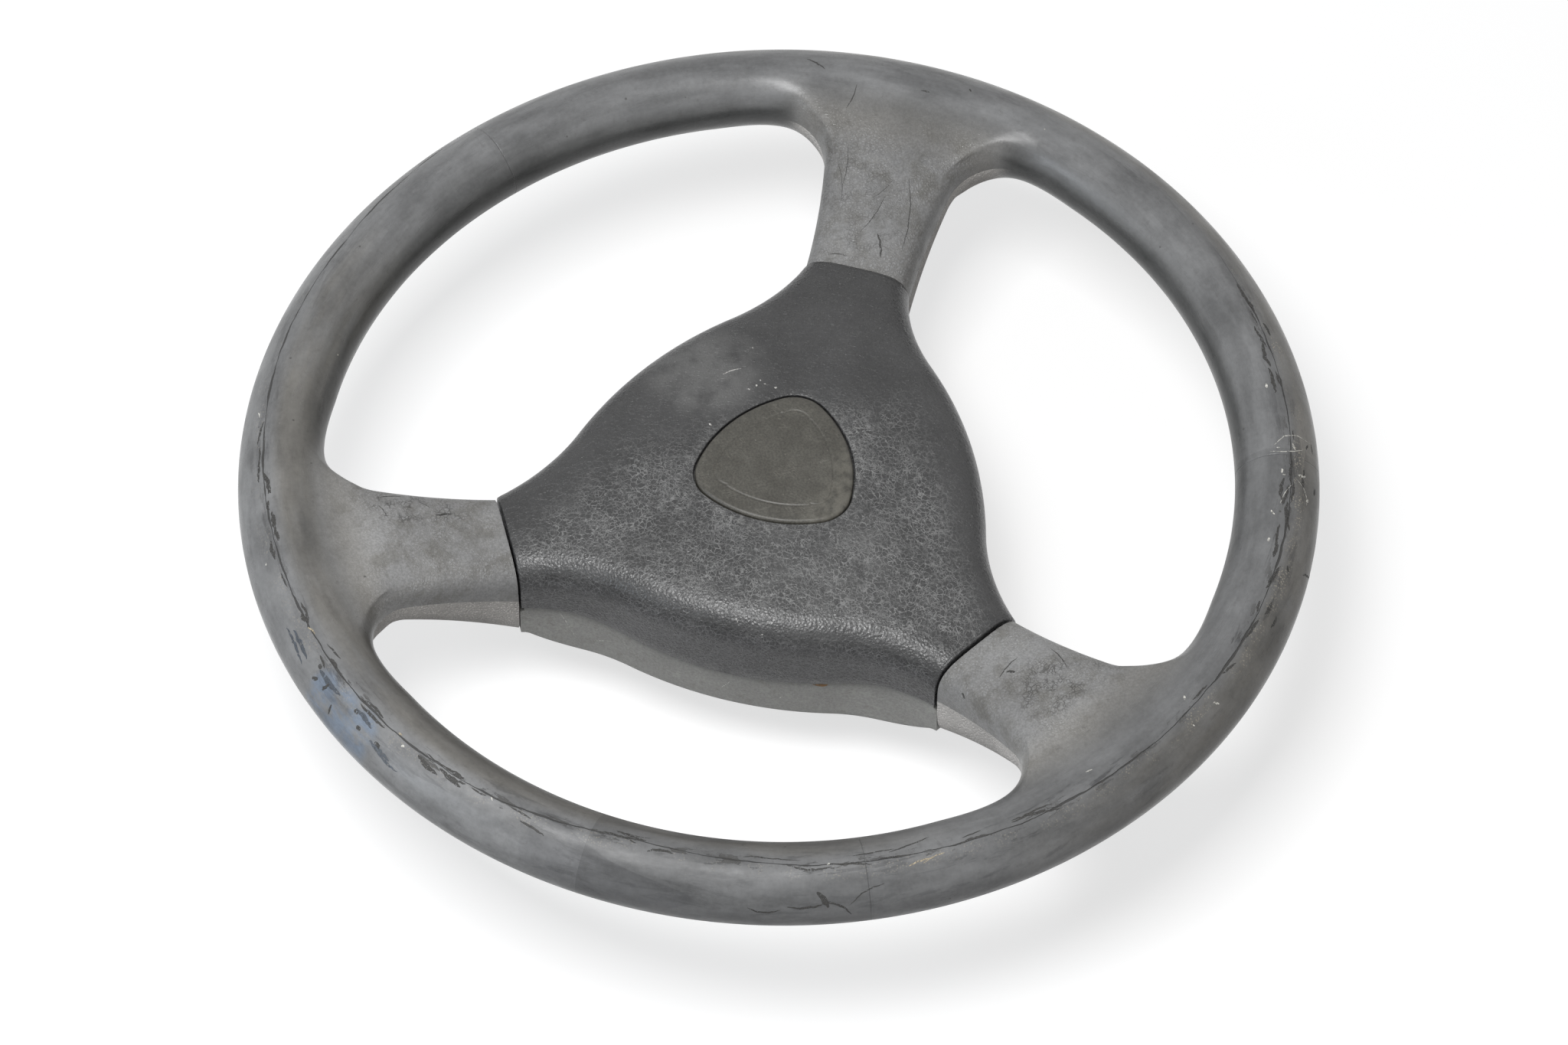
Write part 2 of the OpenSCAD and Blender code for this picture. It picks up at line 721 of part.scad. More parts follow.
module hub_plate() {
    color("silver")
        difference() {
            translate([0, 0, plate_bottom])
                linear_extrude(plate_t)
                    union() {
                        circle(r = plate_r);
                        for (a = side_angles)
                            rotate(a) {
                                translate([0, -ear_half])
                                    square([guide_r, 2 * ear_half]);
                                translate([guide_r, 0])
                                    circle(r = ear_half);
                            }
                        for (a = spoke_angles)
                            rotate(a)
                                translate([0, -strap_w / 2 - strap_clear])
                                    square([arm_plate_r, strap_w + 2 * strap_clear]);
                    }
            translate([0, 0, plate_bottom - cut])
                cylinder(h = plate_t + 2 * cut, r = boss_d / 2 + seat_gap);
            for (a = side_angles)
                rotate(a)
                    translate([guide_r, 0, plate_bottom - cut])
                        cylinder(h = plate_t + 2 * cut, r = bush_r + seat_gap);
            for (a = spoke_angles)
                rotate(a)
                    translate([shroud_screw_r, 0, plate_bottom - cut])
                        cylinder(h = plate_t + 2 * cut, r = screw_r + seat_gap);
            for (a = cam_screw_angles)
                rotate(a)
                    translate([cam_screw_r, 0, plate_bottom - cut])
                        cylinder(h = plate_t + 2 * cut, r = cam_screw_bore);
        }
}

module hub_boss() {
    boss_top = strap_z + strap_t / 2;
    nut_floor = plate_top - nut_sink;
    color("silver")
        difference() {
            union() {
                cylinder(h = boss_top, r = boss_d / 2);
                translate([0, 0, plate_top])
                    cylinder(h = boss_top - plate_top, r = flange_d / 2);
            }
            translate([0, 0, -cut])
                cylinder(h = pilot_l + 2 * cut, r = bore_r);
            translate([0, 0, pilot_l])
                linear_extrude(boss_top - pilot_l + cut)
                    polygon([for (i = [0:2 * serrations - 1])
                        let (a = 180 * i / serrations,
                             r = bore_r + (i % 2 == 0 ? serration_in : serration_d))
                        r * [cos(a), sin(a)]]);
            translate([0, 0, nut_floor])
                cylinder(h = boss_top - nut_floor + cut, r = nut_recess_r);
        }
}

// Cancelling cam and slip ring
cam_screw_angles = [0, 180];
cam_lug_angles = [90, 270];
cam_screw_r = (slip_d + cam_d) / 4;
cam_screw_bore = 1.55;
cam_screw_play = 0.1;
cam_head_r = 2.6;
cam_head_h = 1.6;
cam_bottom = plate_bottom - cam_t;
lug_w = 14;
lug_in = slip_d / 2 + 1;

module cancel_cam() {
    color("whitesmoke")
        difference() {
            union() {
                translate([0, 0, cam_bottom])
                    cylinder(h = cam_t, r = cam_d / 2);
                intersection() {
                    translate([0, 0, cam_bottom - lug_l])
                        difference() {
                            cylinder(h = lug_l + join, r = cam_d / 2);
                            translate([0, 0, -cut])
                                cylinder(h = lug_l + join + 2 * cut, r = lug_in);
                        }
                    for (a = cam_lug_angles)
                        rotate(a)
                            translate([0, -lug_w / 2, cam_bottom - lug_l])
                                cube([cam_d, lug_w, lug_l + join]);
                }
                translate([0, 0, cam_bottom - slip_t])
                    cylinder(h = slip_t + join, r = slip_bore / 2 - seat_gap);
            }
            translate([0, 0, cam_bottom - lug_l - cut])
                cylinder(h = cam_t + lug_l + 2 * cut, r = boss_d / 2 + seat_gap);
            for (a = cam_screw_angles)
                rotate(a)
                    translate([cam_screw_r, 0, cam_bottom - cut])
                        cylinder(h = cam_t + 2 * cut, r = cam_screw_bore + cam_screw_play);
        }
}

module slip_ring() {
    color("goldenrod")
        translate([0, 0, cam_bottom - slip_t])
            difference() {
                cylinder(h = slip_t, r = slip_d / 2);
                translate([0, 0, -cut])
                    cylinder(h = slip_t + 2 * cut, r = slip_bore / 2);
            }
}

module cam_screws() {
    color("gray")
        for (a = cam_screw_angles)
            rotate(a)
                translate([cam_screw_r, 0, cam_bottom]) {
                    translate([0, 0, -cam_head_h])
                        cylinder(h = cam_head_h, r = cam_head_r);
                    translate([0, 0, -join])
                        cylinder(h = cam_t + plate_t + join, r = cam_screw_bore - seat_gap);
                }
}

// Rear shroud
shroud_in = lip_t + lip_gap;
shroud_top = skirt_z + shroud_lap;
shroud_edge = rim_rise - shroud_drop;
collar_top = collar_h - collar_out;
edge_soft = 0.8;
corner_in = 3;
corner_drop = 2.5;
dish_sag = 2.5;
pillar_r = 7;
pillar_seat = plate_bottom - 5;
pillar_foot = collar_top + 3.8;
screw_head_r = 4;
screw_head_h = 3;
head_play = 0.3;
notch_l = 24;
notch_play = 0.4;

function ring_mix(a, b, t) = [for (i = [0:len(a) - 1]) mix(a[i], b[i], t)];
function round_ring(r, z) =
    [for (i = [0:outline_n - 1])
        let (a = polar(outline_point(i, shroud_in, shroud_in))) [r * cos(a), r * sin(a), z]];
// Gap between the wall and the end of a spoke, below the pad's travel
end_gap = 0.4;
end_in = end_gap - joint_gap;
end_z = skirt_z - horn_travel - 1.5;
end_bevel = 1.4;
// Ring at height z, e inside the sides and f inside the ends, with share k of the wall's rise
lift_start = 0.4;
function edge_lift(p) =
    shroud_lift * pow(max(0, (lobe_share(p) - lift_start) / (1 - lift_start)), 2);
function wall_ring(e, f, z, k = 1) =
    [for (p = flat_ring(e, f, z)) lifted(p, k * edge_lift(p))];
// Dish between the wall and the collar, d inside the outer face
function dish_ring(t, d) =
    let (e = shroud_in + corner_in + d,
         a = wall_ring(e, e, shroud_edge - corner_drop + d, pow(1 - t, 2)),
         b = round_ring(collar_r - d, collar_top + d),
         m = ring_mix(a, b, t))
    [for (p = m) lifted(p, -dish_sag * sin(180 * t))];

module rear_shroud() {
    color("gray")
        difference() {
            union() {
                shroud_loop();
                for (a = spoke_angles)
                    rotate(a)
                        translate([shroud_screw_r, 0, pillar_foot])
                            cylinder(h = plate_bottom - pillar_foot, r = pillar_r);
            }
            for (a = spoke_angles)
                rotate(a) {
                    translate([shroud_screw_r, 0, -collar_out])
                        cylinder(h = pillar_seat + collar_out, r = screw_head_r + head_play);
                    translate([shroud_screw_r, 0, 0])
                        cylinder(h = rim_rise, r = screw_r + seat_gap);
                    translate([pad_reach - notch_l / 2, -strap_w / 2 - notch_play,
                               plate_top - notch_play])
                        cube([notch_l, strap_w + 2 * notch_play, rim_rise]);
                }
        }
}

// The shell's rings close on themselves, so its ends are joined and not capped
module shroud_loop() {
    d = shroud_t;
    q = edge_soft;
    rings = concat(
        [round_ring(collar_r, -collar_out)],
        [for (t = [4:-1:0]) dish_ring(t / 4, 0)],
        [wall_ring(shroud_in + q, end_in + q, shroud_edge - q)],
        [wall_ring(shroud_in, end_in, shroud_edge + q)],
        [flat_ring(shroud_in, end_in, end_z)],
        [flat_ring(shroud_in, shroud_in, end_z + end_bevel)],
        [flat_ring(shroud_in, shroud_in, shroud_top)],
        [flat_ring(shroud_in + d, shroud_in + d, shroud_top)],
        [wall_ring(shroud_in + d, shroud_in + d, shroud_edge + q)],
        [for (t = [0:2]) dish_ring(t / 2, d)],
        [round_ring(collar_r - d, -collar_out)]);
    n = outline_n;
    count = len(rings);
    polyhedron(
        [for (ring = rings, p = ring) p],
        [for (r = [0:count - 1], k = [0:n - 1])
            for (t = [[0, 3, 1], [0, 2, 3]])
                [for (q = t) ((r + floor(q / 2)) % count) * n + (k + q % 2) % n]],
        convexity = 8);
}

module shroud_screws() {
    color("dimgray")
        for (a = spoke_angles)
            rotate(a)
                translate([shroud_screw_r, 0, pillar_seat]) {
                    translate([0, 0, -screw_head_h])
                        cylinder(h = screw_head_h, r = screw_head_r);
                    translate([0, 0, -join])
                        cylinder(h = strap_z + strap_t / 2 - pillar_seat, r = screw_r);
                }
}

rim_grip();
rim_core();
spoke_strap(0);  // spoke_strap_bottom
spoke_strap(1);  // spoke_strap_right
spoke_strap(2);  // spoke_strap_left
hub_plate();
hub_boss();
rear_shroud();
shroud_screws();
cancel_cam();
slip_ring();
cam_screws();
guide_block(0);  // guide_block_1
guide_block(1);  // guide_block_2
guide_block(2);  // guide_block_3
horn_spring(0);  // horn_spring_1
horn_spring(1);  // horn_spring_2
horn_spring(2);  // horn_spring_3
fixed_contact(0);  // fixed_contact_1
fixed_contact(1);  // fixed_contact_2
fixed_contact(2);  // fixed_contact_3
pad_cover();
pad_carrier();
pad_screws();
badge();
moving_contact(0);  // moving_contact_1
moving_contact(1);  // moving_contact_2
moving_contact(2);  // moving_contact_3
shoulder_bolt(0);  // shoulder_bolt_1
shoulder_bolt(1);  // shoulder_bolt_2
shoulder_bolt(2);  // shoulder_bolt_3
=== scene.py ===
# Dresses the steering wheel: the rim with its spokes, the horn pad, the badge and the rear
# shroud get fine surfaces in place of the CAD solids, and every other CAD node gets a material.
# All lengths are in metres, in the CAD model's own frame: Z along the column towards the driver.
import bpy
import math
import numpy as np
from mathutils import Matrix, Vector
from mathutils.bvhtree import BVHTree


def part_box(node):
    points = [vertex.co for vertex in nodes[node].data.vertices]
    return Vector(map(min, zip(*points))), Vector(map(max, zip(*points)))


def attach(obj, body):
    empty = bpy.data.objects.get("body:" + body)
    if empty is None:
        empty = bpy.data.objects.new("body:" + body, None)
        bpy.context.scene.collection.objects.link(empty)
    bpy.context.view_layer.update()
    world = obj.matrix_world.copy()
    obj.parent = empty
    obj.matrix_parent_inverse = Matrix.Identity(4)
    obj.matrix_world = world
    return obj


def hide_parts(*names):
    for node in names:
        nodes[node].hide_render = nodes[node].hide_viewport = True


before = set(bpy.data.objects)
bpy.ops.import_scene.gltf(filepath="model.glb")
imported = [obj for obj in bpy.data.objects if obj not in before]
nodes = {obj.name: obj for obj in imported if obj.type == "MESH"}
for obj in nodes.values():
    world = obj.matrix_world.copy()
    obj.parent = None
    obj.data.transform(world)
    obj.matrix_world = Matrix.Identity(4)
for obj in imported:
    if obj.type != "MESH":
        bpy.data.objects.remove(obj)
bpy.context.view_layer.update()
MM = 0.001

# Sizes taken from the frame
_, rim_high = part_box("rim_grip")
pad_low, pad_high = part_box("pad_cover")
badge_low, badge_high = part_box("badge")
shroud_low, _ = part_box("rear_shroud")

# Rim
RIM_R = rim_high.x              # outer radius
RIM_A = 14.9 * MM               # half width of the rim's section
RIM_B = 13.8 * MM               # half depth of the rim's section
RIM_Z = rim_high.z - RIM_B      # the rim's middle plane
ROD_R = RIM_R - RIM_A           # radius of the rim's centre line
RIM_IN = RIM_R - 2 * RIM_A      # inner radius
MARK_LIFT = 0.06 * MM           # how far marks stand on the skins, and the rim's skin is in
SWELL = 0.5 * MM                # swell towards each spoke
PINCH = 0.04                    # how far the section departs from an ellipse
SPOKE_ANGLES = [math.radians(a) for a in (-90, 30, 150)]

# Spokes
HUB_HALF = 19.4 * MM            # half width at the hub
FLARE = 4.2 * MM                # extra half width where the fillets start
NECK = RIM_IN - 20.6 * MM       # distance from the axis where the fillets start
ARM_END = 99.0 * MM             # distance from the axis to the end at the hub
HUB_DROP = 21.0 * MM            # parting edge below the rim's middle plane, at the hub
NECK_DROP = 5.5 * MM            # the same where the fillets start
HUB_CROWN = 15.5 * MM           # rise of the face above the parting edge, at the hub
NECK_CROWN = 12.0 * MM          # the same where the fillets start
HUB_WALL = 22.5 * MM            # height of the side wall, at the hub
NECK_WALL = 12.5 * MM           # the same where the fillets start
DRAFT = 0.5 * MM                # inward draft of the side wall
FACE_POWER = 3.9                # how square the section is above the parting edge
WALL_POWER = 4.8                # and below it
CREASE_PULL = 1.15              # length of the blend's tangents along the parting edge
FACE_PULL = 0.9                 # and elsewhere
CREASE_FULL = 7 * MM            # where a crease meets the rim, it is softened fully up to here
CREASE_END = 24 * MM            # and not at all from here on
CREASE_ROUNDS = 90

# Horn pad
PAD_REACH = -pad_low.y          # axis to a lobe's end
PAD_SIDE = pad_high.y           # axis to the middle of a side
PAD_TOP = pad_high.z
SKIRT_Z = RIM_Z - 24.5 * MM     # the skirt's lower edge at the lobes
SKIRT_DIP = 4.5 * MM            # how much lower it is in the middle of a side
DIP_END = 0.55                  # share of the way to a lobe's end where the dip ends
DIP_POWER = 1.3
LOBE_HALF = HUB_HALF + 0.6 * MM  # half width of a lobe's end
BULGE_R = 150 * MM              # radius of the sides, in plan
HOLLOW_R = 70 * MM              # radius of the hollows beside the lobes, in plan
PAD_FALL = 7.6 * MM             # drop of the face from the badge to a lobe's end
FALL_POWER = 1.3
ROLL_W = 14 * MM                # width and depth of the rolled edge
ROLL_D = 12 * MM
ROLL_POWER = 2.5
EDGE_ROUND = 1.2 * MM           # rounding between the face and the lobes' ends

# Badge
BADGE_CORNER = -badge_low.y
BADGE_SIDE = badge_high.y
BADGE_ROUND = 13 * MM
BADGE_GAP = 0.5 * MM
RECESS_Z = badge_low.z
BADGE_Z = RECESS_Z + 3 * MM

# Rear shroud
SHROUD_IN = 1.05 * MM           # how far its wall stands inside the pad's outline
SHROUD_T = 2.4 * MM
SHROUD_EDGE = RIM_Z - 46.5 * MM
SHROUD_LIFT = 6.5 * MM          # rise of its lower edge towards a lobe's end
LIFT_START = 0.4                # share of the way to a lobe's end where the rise starts
END_IN = -0.4 * MM              # how far its ends reach out, below the pad's travel
END_Z = SKIRT_Z - 4.0 * MM
END_BEVEL = 1.4 * MM
DISH_IN = 3 * MM                # how far the dish starts inside the wall
DISH_SAG = 2.5 * MM             # how much rounder than a cone it is
COLLAR_R = 46 * MM
COLLAR_TOP = shroud_low.z + 7 * MM


# Small helpers for geometry
def turn(points, angle):
    c, s = math.cos(angle), math.sin(angle)
    x, y, z = points[..., 0], points[..., 1], points[..., 2]
    return np.stack([c * x - s * y, s * x + c * y, z], -1)


def unit(v):
    return v / np.linalg.norm(v, axis=-1, keepdims=True)


def spow(x, p):
    return np.sign(x) * np.abs(x) ** p


def smooth_step(x, low, high):
    t = np.clip((x - low) / (high - low), 0, 1)
    return t * t * (3 - 2 * t)


def new_mesh(name, points, faces, body, replaced, sharp_deg=32):
    """A smooth shaded piece that rides on a CAD body and stands for a CAD node."""
    mesh = bpy.data.meshes.new(name)
    mesh.from_pydata([tuple(map(float, p)) for p in points], [], faces)
    mesh.validate()
    mesh.shade_smooth()
    mesh.set_sharp_from_angle(angle=math.radians(sharp_deg))
    obj = bpy.data.objects.new(name, mesh)
    bpy.context.scene.collection.objects.link(obj)
    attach(obj, body)
    if replaced:
        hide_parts(replaced)
    return obj


def point_values(mesh, name, values):
    """Stores one number for each point, for the material to read."""
    layer = mesh.attributes.new(name, "FLOAT", "POINT")
    layer.data.foreach_set("value", np.asarray(values, np.float32))


def corner_values(mesh, name, face_values):
    """Stores one number for each face's corners, from a list of lists."""
    layer = mesh.attributes.new(name, "FLOAT", "CORNER")
    layer.data.foreach_set("value", np.concatenate(face_values).astype(np.float32))


# Rim and spokes: one skin, a ring's grid with three branches
RIM_STEPS = 432
SECTION_STEPS = 80
ROOT_STEPS = 20
WALL_STEPS = 16
BLEND_RINGS = 26
ARM_RINGS = 14
ROOT_ANGLE = 2 * math.pi * ROOT_STEPS / RIM_STEPS
ROOT_TURN = 2 * math.pi * WALL_STEPS / SECTION_STEPS
HALF_LOOP = 2 * (ROOT_STEPS + WALL_STEPS)
LOOP = 2 * HALF_LOOP


def rim_point(th, ph):
    k = 1 - PINCH * np.sin(2 * ph) ** 2
    r = ROD_R + SWELL * np.cos(3 * th) + (RIM_A - MARK_LIFT) * k * np.cos(ph)
    z = RIM_Z + (RIM_B - MARK_LIFT) * k * np.sin(ph)
    return np.stack([r * np.cos(th), r * np.sin(th), z], -1)


def root_shares(k):
    """Where point k of the loop lies on the edge of the spoke's patch, from -1 to 1 each way."""
    q = np.mod(k, HALF_LOOP)
    sign = np.where(np.mod(k, LOOP) < HALF_LOOP, 1.0, -1.0)
    stops = [0, WALL_STEPS, WALL_STEPS + 2 * ROOT_STEPS, HALF_LOOP]
    return sign * np.interp(q, stops, [1, 1, -1, -1]), sign * np.interp(q, stops, [0, -1, -1, 0])


def arm_point(k, s):
    """Point k of the arm's section, from the neck, s = 0, to the hub, s = 1."""
    width = HUB_HALF + FLARE * (1 - s) ** 2
    z = RIM_Z - (NECK_DROP + (HUB_DROP - NECK_DROP) * s)
    wall = NECK_WALL + (HUB_WALL - NECK_WALL) * s
    crown = NECK_CROWN + (HUB_CROWN - NECK_CROWN) * s
    a = math.pi * np.mod(k, HALF_LOOP) / HALF_LOOP
    face_y = width * spow(np.cos(a), 2 / FACE_POWER)
    face_z = z + crown * np.abs(np.sin(a)) ** (2 / FACE_POWER)
    f = np.abs(np.sin(a)) ** (2 / WALL_POWER)
    wall_y = -(width - DRAFT * f) * spow(np.cos(a), 2 / WALL_POWER)
    upper = np.mod(k, LOOP) < HALF_LOOP
    x = np.full(np.shape(k), NECK + (ARM_END - NECK) * s)
    return np.stack([x, np.where(upper, face_y, wall_y),
                     np.where(upper, face_z, z - wall * f)], -1)


def root_heading(k):
    """Unit direction across the patch's edge, in the rim's surface."""
    a, b = root_shares(k)
    th, ph, d = a * ROOT_ANGLE, math.pi + b * ROOT_TURN, 0.002
    along = unit(rim_point(th + d, ph) - rim_point(th - d, ph))
    round_ = unit(rim_point(th, ph + d) - rim_point(th, ph - d))
    return unit(-(a ** 3)[:, None] * along - (b ** 3)[:, None] * round_)


def blend_ring(k, s):
    """The blend from the rim's surface, s = 0, to the neck, s = 1, tangent to both."""
    a, b = root_shares(k)
    start = rim_point(a * ROOT_ANGLE, math.pi + b * ROOT_TURN)
    end = arm_point(k, 0)
    edge = a ** 4 * (1 - b ** 4)
    pull = (np.linalg.norm(end - start, axis=1)
            * (FACE_PULL + (CREASE_PULL - FACE_PULL) * edge))[:, None]
    leave = pull * root_heading(k)
    arrive = pull * unit(arm_point(k, 0.02) - end)
    return ((2 * s ** 3 - 3 * s ** 2 + 1) * start + (s ** 3 - 2 * s ** 2 + s) * leave
            + (3 * s ** 2 - 2 * s ** 3) * end + (s ** 3 - s ** 2) * arrive)


def soften_creases(points, faces):
    """Lets each crease run out softly where it meets the rim."""
    quads = np.array([f for f in faces if len(f) == 4])
    ends = [turn(rim_point(side * ROOT_ANGLE, math.pi), angle)
            for angle in SPOKE_ANGLES for side in (-1, 1)]
    gap = np.min([np.linalg.norm(points - end, axis=1) for end in ends], axis=0)
    share = 0.5 * (1 - smooth_step(gap, CREASE_FULL, CREASE_END))[:, None]
    start = quads.ravel()
    neighbour = np.roll(quads, 1, 1).ravel()
    count = np.maximum(np.bincount(start, minlength=len(points)), 1)[:, None]
    for _ in range(CREASE_ROUNDS):
        total = np.stack([np.bincount(start, points[neighbour, k], len(points))
                          for k in range(3)], 1)
        points = points + share * (total / count - points)
    return points


def make_rim():
    th = np.arange(RIM_STEPS) * 2 * math.pi / RIM_STEPS
    ph = np.arange(SECTION_STEPS) * 2 * math.pi / SECTION_STEPS
    grid_th, grid_ph = np.meshgrid(th, ph, indexing="ij")
    points = [turn(rim_point(grid_th, grid_ph).reshape(-1, 3), SPOKE_ANGLES[0])]
    spoke = [np.zeros(RIM_STEPS * SECTION_STEPS)]
    faces, wall = [], []
    for i in range(RIM_STEPS):
        d = (i + RIM_STEPS // 6) % (RIM_STEPS // 3) - RIM_STEPS // 6
        for j in range(SECTION_STEPS):
            near = abs(j + 0.5 - SECTION_STEPS / 2) < WALL_STEPS
            if -ROOT_STEPS <= d < ROOT_STEPS and near:
                continue
            i1, j1 = (i + 1) % RIM_STEPS, (j + 1) % SECTION_STEPS
            faces.append((i * SECTION_STEPS + j, i1 * SECTION_STEPS + j,
                          i1 * SECTION_STEPS + j1, i * SECTION_STEPS + j1))
            wall.append(np.zeros(4))

    k = np.arange(LOOP)
    a, b = root_shares(k)
    rings = [blend_ring(k, r / BLEND_RINGS) for r in range(1, BLEND_RINGS + 1)]
    rings += [arm_point(k, r / ARM_RINGS) for r in range(1, ARM_RINGS + 1)]
    count = len(rings)
    share = np.concatenate([np.arange(1, BLEND_RINGS + 1) / BLEND_RINGS, np.ones(ARM_RINGS)])
    wall_at = np.concatenate([[0], smooth_step(share, 0.08, 0.5)])
    base = RIM_STEPS * SECTION_STEPS
    for n, angle in enumerate(SPOKE_ANGLES):
        i = (n * RIM_STEPS // 3 + np.rint(a * ROOT_STEPS)).astype(int) % RIM_STEPS
        j = (SECTION_STEPS // 2 + np.rint(b * WALL_STEPS)).astype(int) % SECTION_STEPS
        index = [i * SECTION_STEPS + j] + [base + r * LOOP + k for r in range(count)]
        points += [turn(ring, angle) for ring in rings]
        spoke += [np.full(LOOP, float(s)) for s in smooth_step(share, 0.0, 0.9)]
        for r in range(count):
            for q in range(LOOP):
                q1 = (q + 1) % LOOP
                faces.append((index[r][q], index[r + 1][q], index[r + 1][q1], index[r][q1]))
                low = 0.0 if q < HALF_LOOP else 1.0
                wall.append(low * np.array([wall_at[r], wall_at[r + 1],
                                            wall_at[r + 1], wall_at[r]]))
        faces.append(tuple(int(v) for v in index[count][::-1]))
        wall.append(np.zeros(LOOP))
        base += count * LOOP
    faces = [tuple(int(v) for v in f) for f in faces]
    points = soften_creases(np.concatenate(points), faces)
    obj = new_mesh("rim_skin", points, faces, "wheel", "rim_grip")
    point_values(obj.data, "spoke", np.concatenate(spoke))
    corner_values(obj.data, "wall", wall)
    return obj


# Horn pad, badge and shroud: stacks of rings over one outline
BULGE_STEPS = 22
HOLLOW_STEPS = 26
END_STEPS = 12
SECTOR = BULGE_STEPS + HOLLOW_STEPS + END_STEPS
OUTLINE = 6 * SECTOR

bulge_c = (PAD_SIDE - BULGE_R) * np.array([math.cos(math.pi / 3), math.sin(math.pi / 3)])
corner_way = np.array([PAD_REACH, LOBE_HALF]) - bulge_c
corner_span = np.linalg.norm(corner_way)
corner_way = corner_way / corner_span
reach = BULGE_R + HOLLOW_R
corner_along = (corner_span ** 2 + reach ** 2 - HOLLOW_R ** 2) / (2 * corner_span)
corner_off = math.sqrt(reach ** 2 - corner_along ** 2)
hollow_c = (bulge_c + corner_along * corner_way
            + corner_off * np.array([-corner_way[1], corner_way[0]]))
tangent_angle = math.atan2(*(hollow_c - bulge_c)[::-1])


def lobe_width(u, e):
    return hollow_c[1] - math.sqrt((HOLLOW_R + e) ** 2 - (u - hollow_c[0]) ** 2)


def half_sector(e, f):
    """Points from the middle of a side to the middle of a lobe's end, in the lobe's frame,
    with the side moved in by e and the end by f, and how far each lies inside the side."""
    u = PAD_REACH - f
    v = lobe_width(u, e)
    a = np.linspace(math.pi / 3, tangent_angle, BULGE_STEPS + 1)[:-1]
    bulge = bulge_c + (BULGE_R - e) * np.stack([np.cos(a), np.sin(a)], -1)
    a1 = math.atan2(v - hollow_c[1], u - hollow_c[0]) + 2 * math.pi
    a = np.linspace(tangent_angle + math.pi, a1, HOLLOW_STEPS + 1)[:-1]
    hollow = hollow_c + (HOLLOW_R + e) * np.stack([np.cos(a), np.sin(a)], -1)
    share = np.linspace(0, 1, END_STEPS + 1)
    end = np.stack([np.full(END_STEPS + 1, u), v * (1 - share)], -1)
    inset = np.concatenate([np.full(BULGE_STEPS + HOLLOW_STEPS, e), e + v * share])
    return np.concatenate([bulge, hollow, end]), inset


def outline(e, f):
    half, inset = half_sector(e, f)
    loop = np.concatenate([half * [1, -1], half[1:-1][::-1]])
    insets = np.concatenate([inset, inset[1:-1][::-1]])
    flat = np.concatenate([loop, np.zeros((len(loop), 1))], 1)
    whole = [turn(flat, SPOKE_ANGLES[0] + n * 2 * math.pi / 3)[:, :2] for n in range(3)]
    return np.concatenate(whole), np.tile(insets, 3)


def face_z(r):
    share = np.clip(r - BADGE_CORNER, 0, None) / (PAD_REACH - BADGE_CORNER)
    return PAD_TOP - PAD_FALL * share ** FALL_POWER


def roll_in(a):
    return ROLL_W * (1 - math.cos(a) ** (2 / ROLL_POWER))


def roll_drop(x):
    t = np.clip(1 - x / ROLL_W, 0, 1) ** ROLL_POWER
    return ROLL_D * (1 - (1 - t) ** (1 / ROLL_POWER))


badge_k = BADGE_CORNER - BADGE_ROUND
badge_side_r = ((badge_k ** 2 - badge_k * BADGE_SIDE + BADGE_SIDE ** 2 - BADGE_ROUND ** 2)
                / (2 * BADGE_SIDE - badge_k - 2 * BADGE_ROUND))
badge_side_c = BADGE_SIDE - badge_side_r
badge_turn = math.atan2(badge_k * math.sin(math.pi / 3),
                        badge_k * math.cos(math.pi / 3) - badge_side_c)
badge_switch = math.atan2(badge_side_r * math.sin(badge_turn),
                          badge_side_c + badge_side_r * math.cos(badge_turn))


def badge_r(a, grow):
    third = 2 * math.pi / 3
    d = np.abs(np.mod(a + math.pi / 2 + math.pi / 3, third) - math.pi / 3)
    s = math.pi / 3 - d
    side = badge_side_c * np.cos(s) + np.sqrt((badge_side_r + grow) ** 2
                                              - (badge_side_c * np.sin(s)) ** 2)
    corner = badge_k * np.cos(d) + np.sqrt(np.clip((BADGE_ROUND + grow) ** 2
                                                   - (badge_k * np.sin(d)) ** 2, 0, None))
    return np.where(s < badge_switch, side, corner)


inner_edge, _ = outline(ROLL_W, EDGE_ROUND)
inner_angle = np.arctan2(inner_edge[:, 1], inner_edge[:, 0])


def with_z(xy, z):
    return np.concatenate([xy, np.broadcast_to(z, (len(xy),))[:, None]], 1)


def polar_ring(r, z, angle=inner_angle):
    r = np.broadcast_to(r, angle.shape)
    return with_z(np.stack([r * np.cos(angle), r * np.sin(angle)], -1), z)


def flat_ring(e, z, ends=None):
    """The outline at height z, moved in by e, and by another distance at the lobes' ends."""
    return with_z(outline(e, e if ends is None else ends)[0], z)


def lobe_share(ring):
    """How far a place is from the middle of a side towards a lobe's end, 0 to 1."""
    r = np.hypot(ring[:, 0], ring[:, 1])
    return np.clip((r - PAD_SIDE) / (PAD_REACH - PAD_SIDE), 0, 1)


def skirt_ring(e, up=0.0):
    """The skirt's lower edge, which dips in the middle of each side."""
    ring = flat_ring(e, SKIRT_Z + up)
    ring[:, 2] -= SKIRT_DIP * np.clip(1 - lobe_share(ring) / DIP_END, 0, 1) ** DIP_POWER
    return ring


def wall_ring(e, z, share=1.0, ends=None):
    """A ring of the shroud's wall, with a share of its rise at the lobes."""
    ring = flat_ring(e, z, ends)
    rise = np.clip((lobe_share(ring) - LIFT_START) / (1 - LIFT_START), 0, 1) ** 2
    ring[:, 2] += share * SHROUD_LIFT * rise
    return ring


def badge_ring(grow, z):
    return polar_ring(badge_r(inner_angle, grow), z)


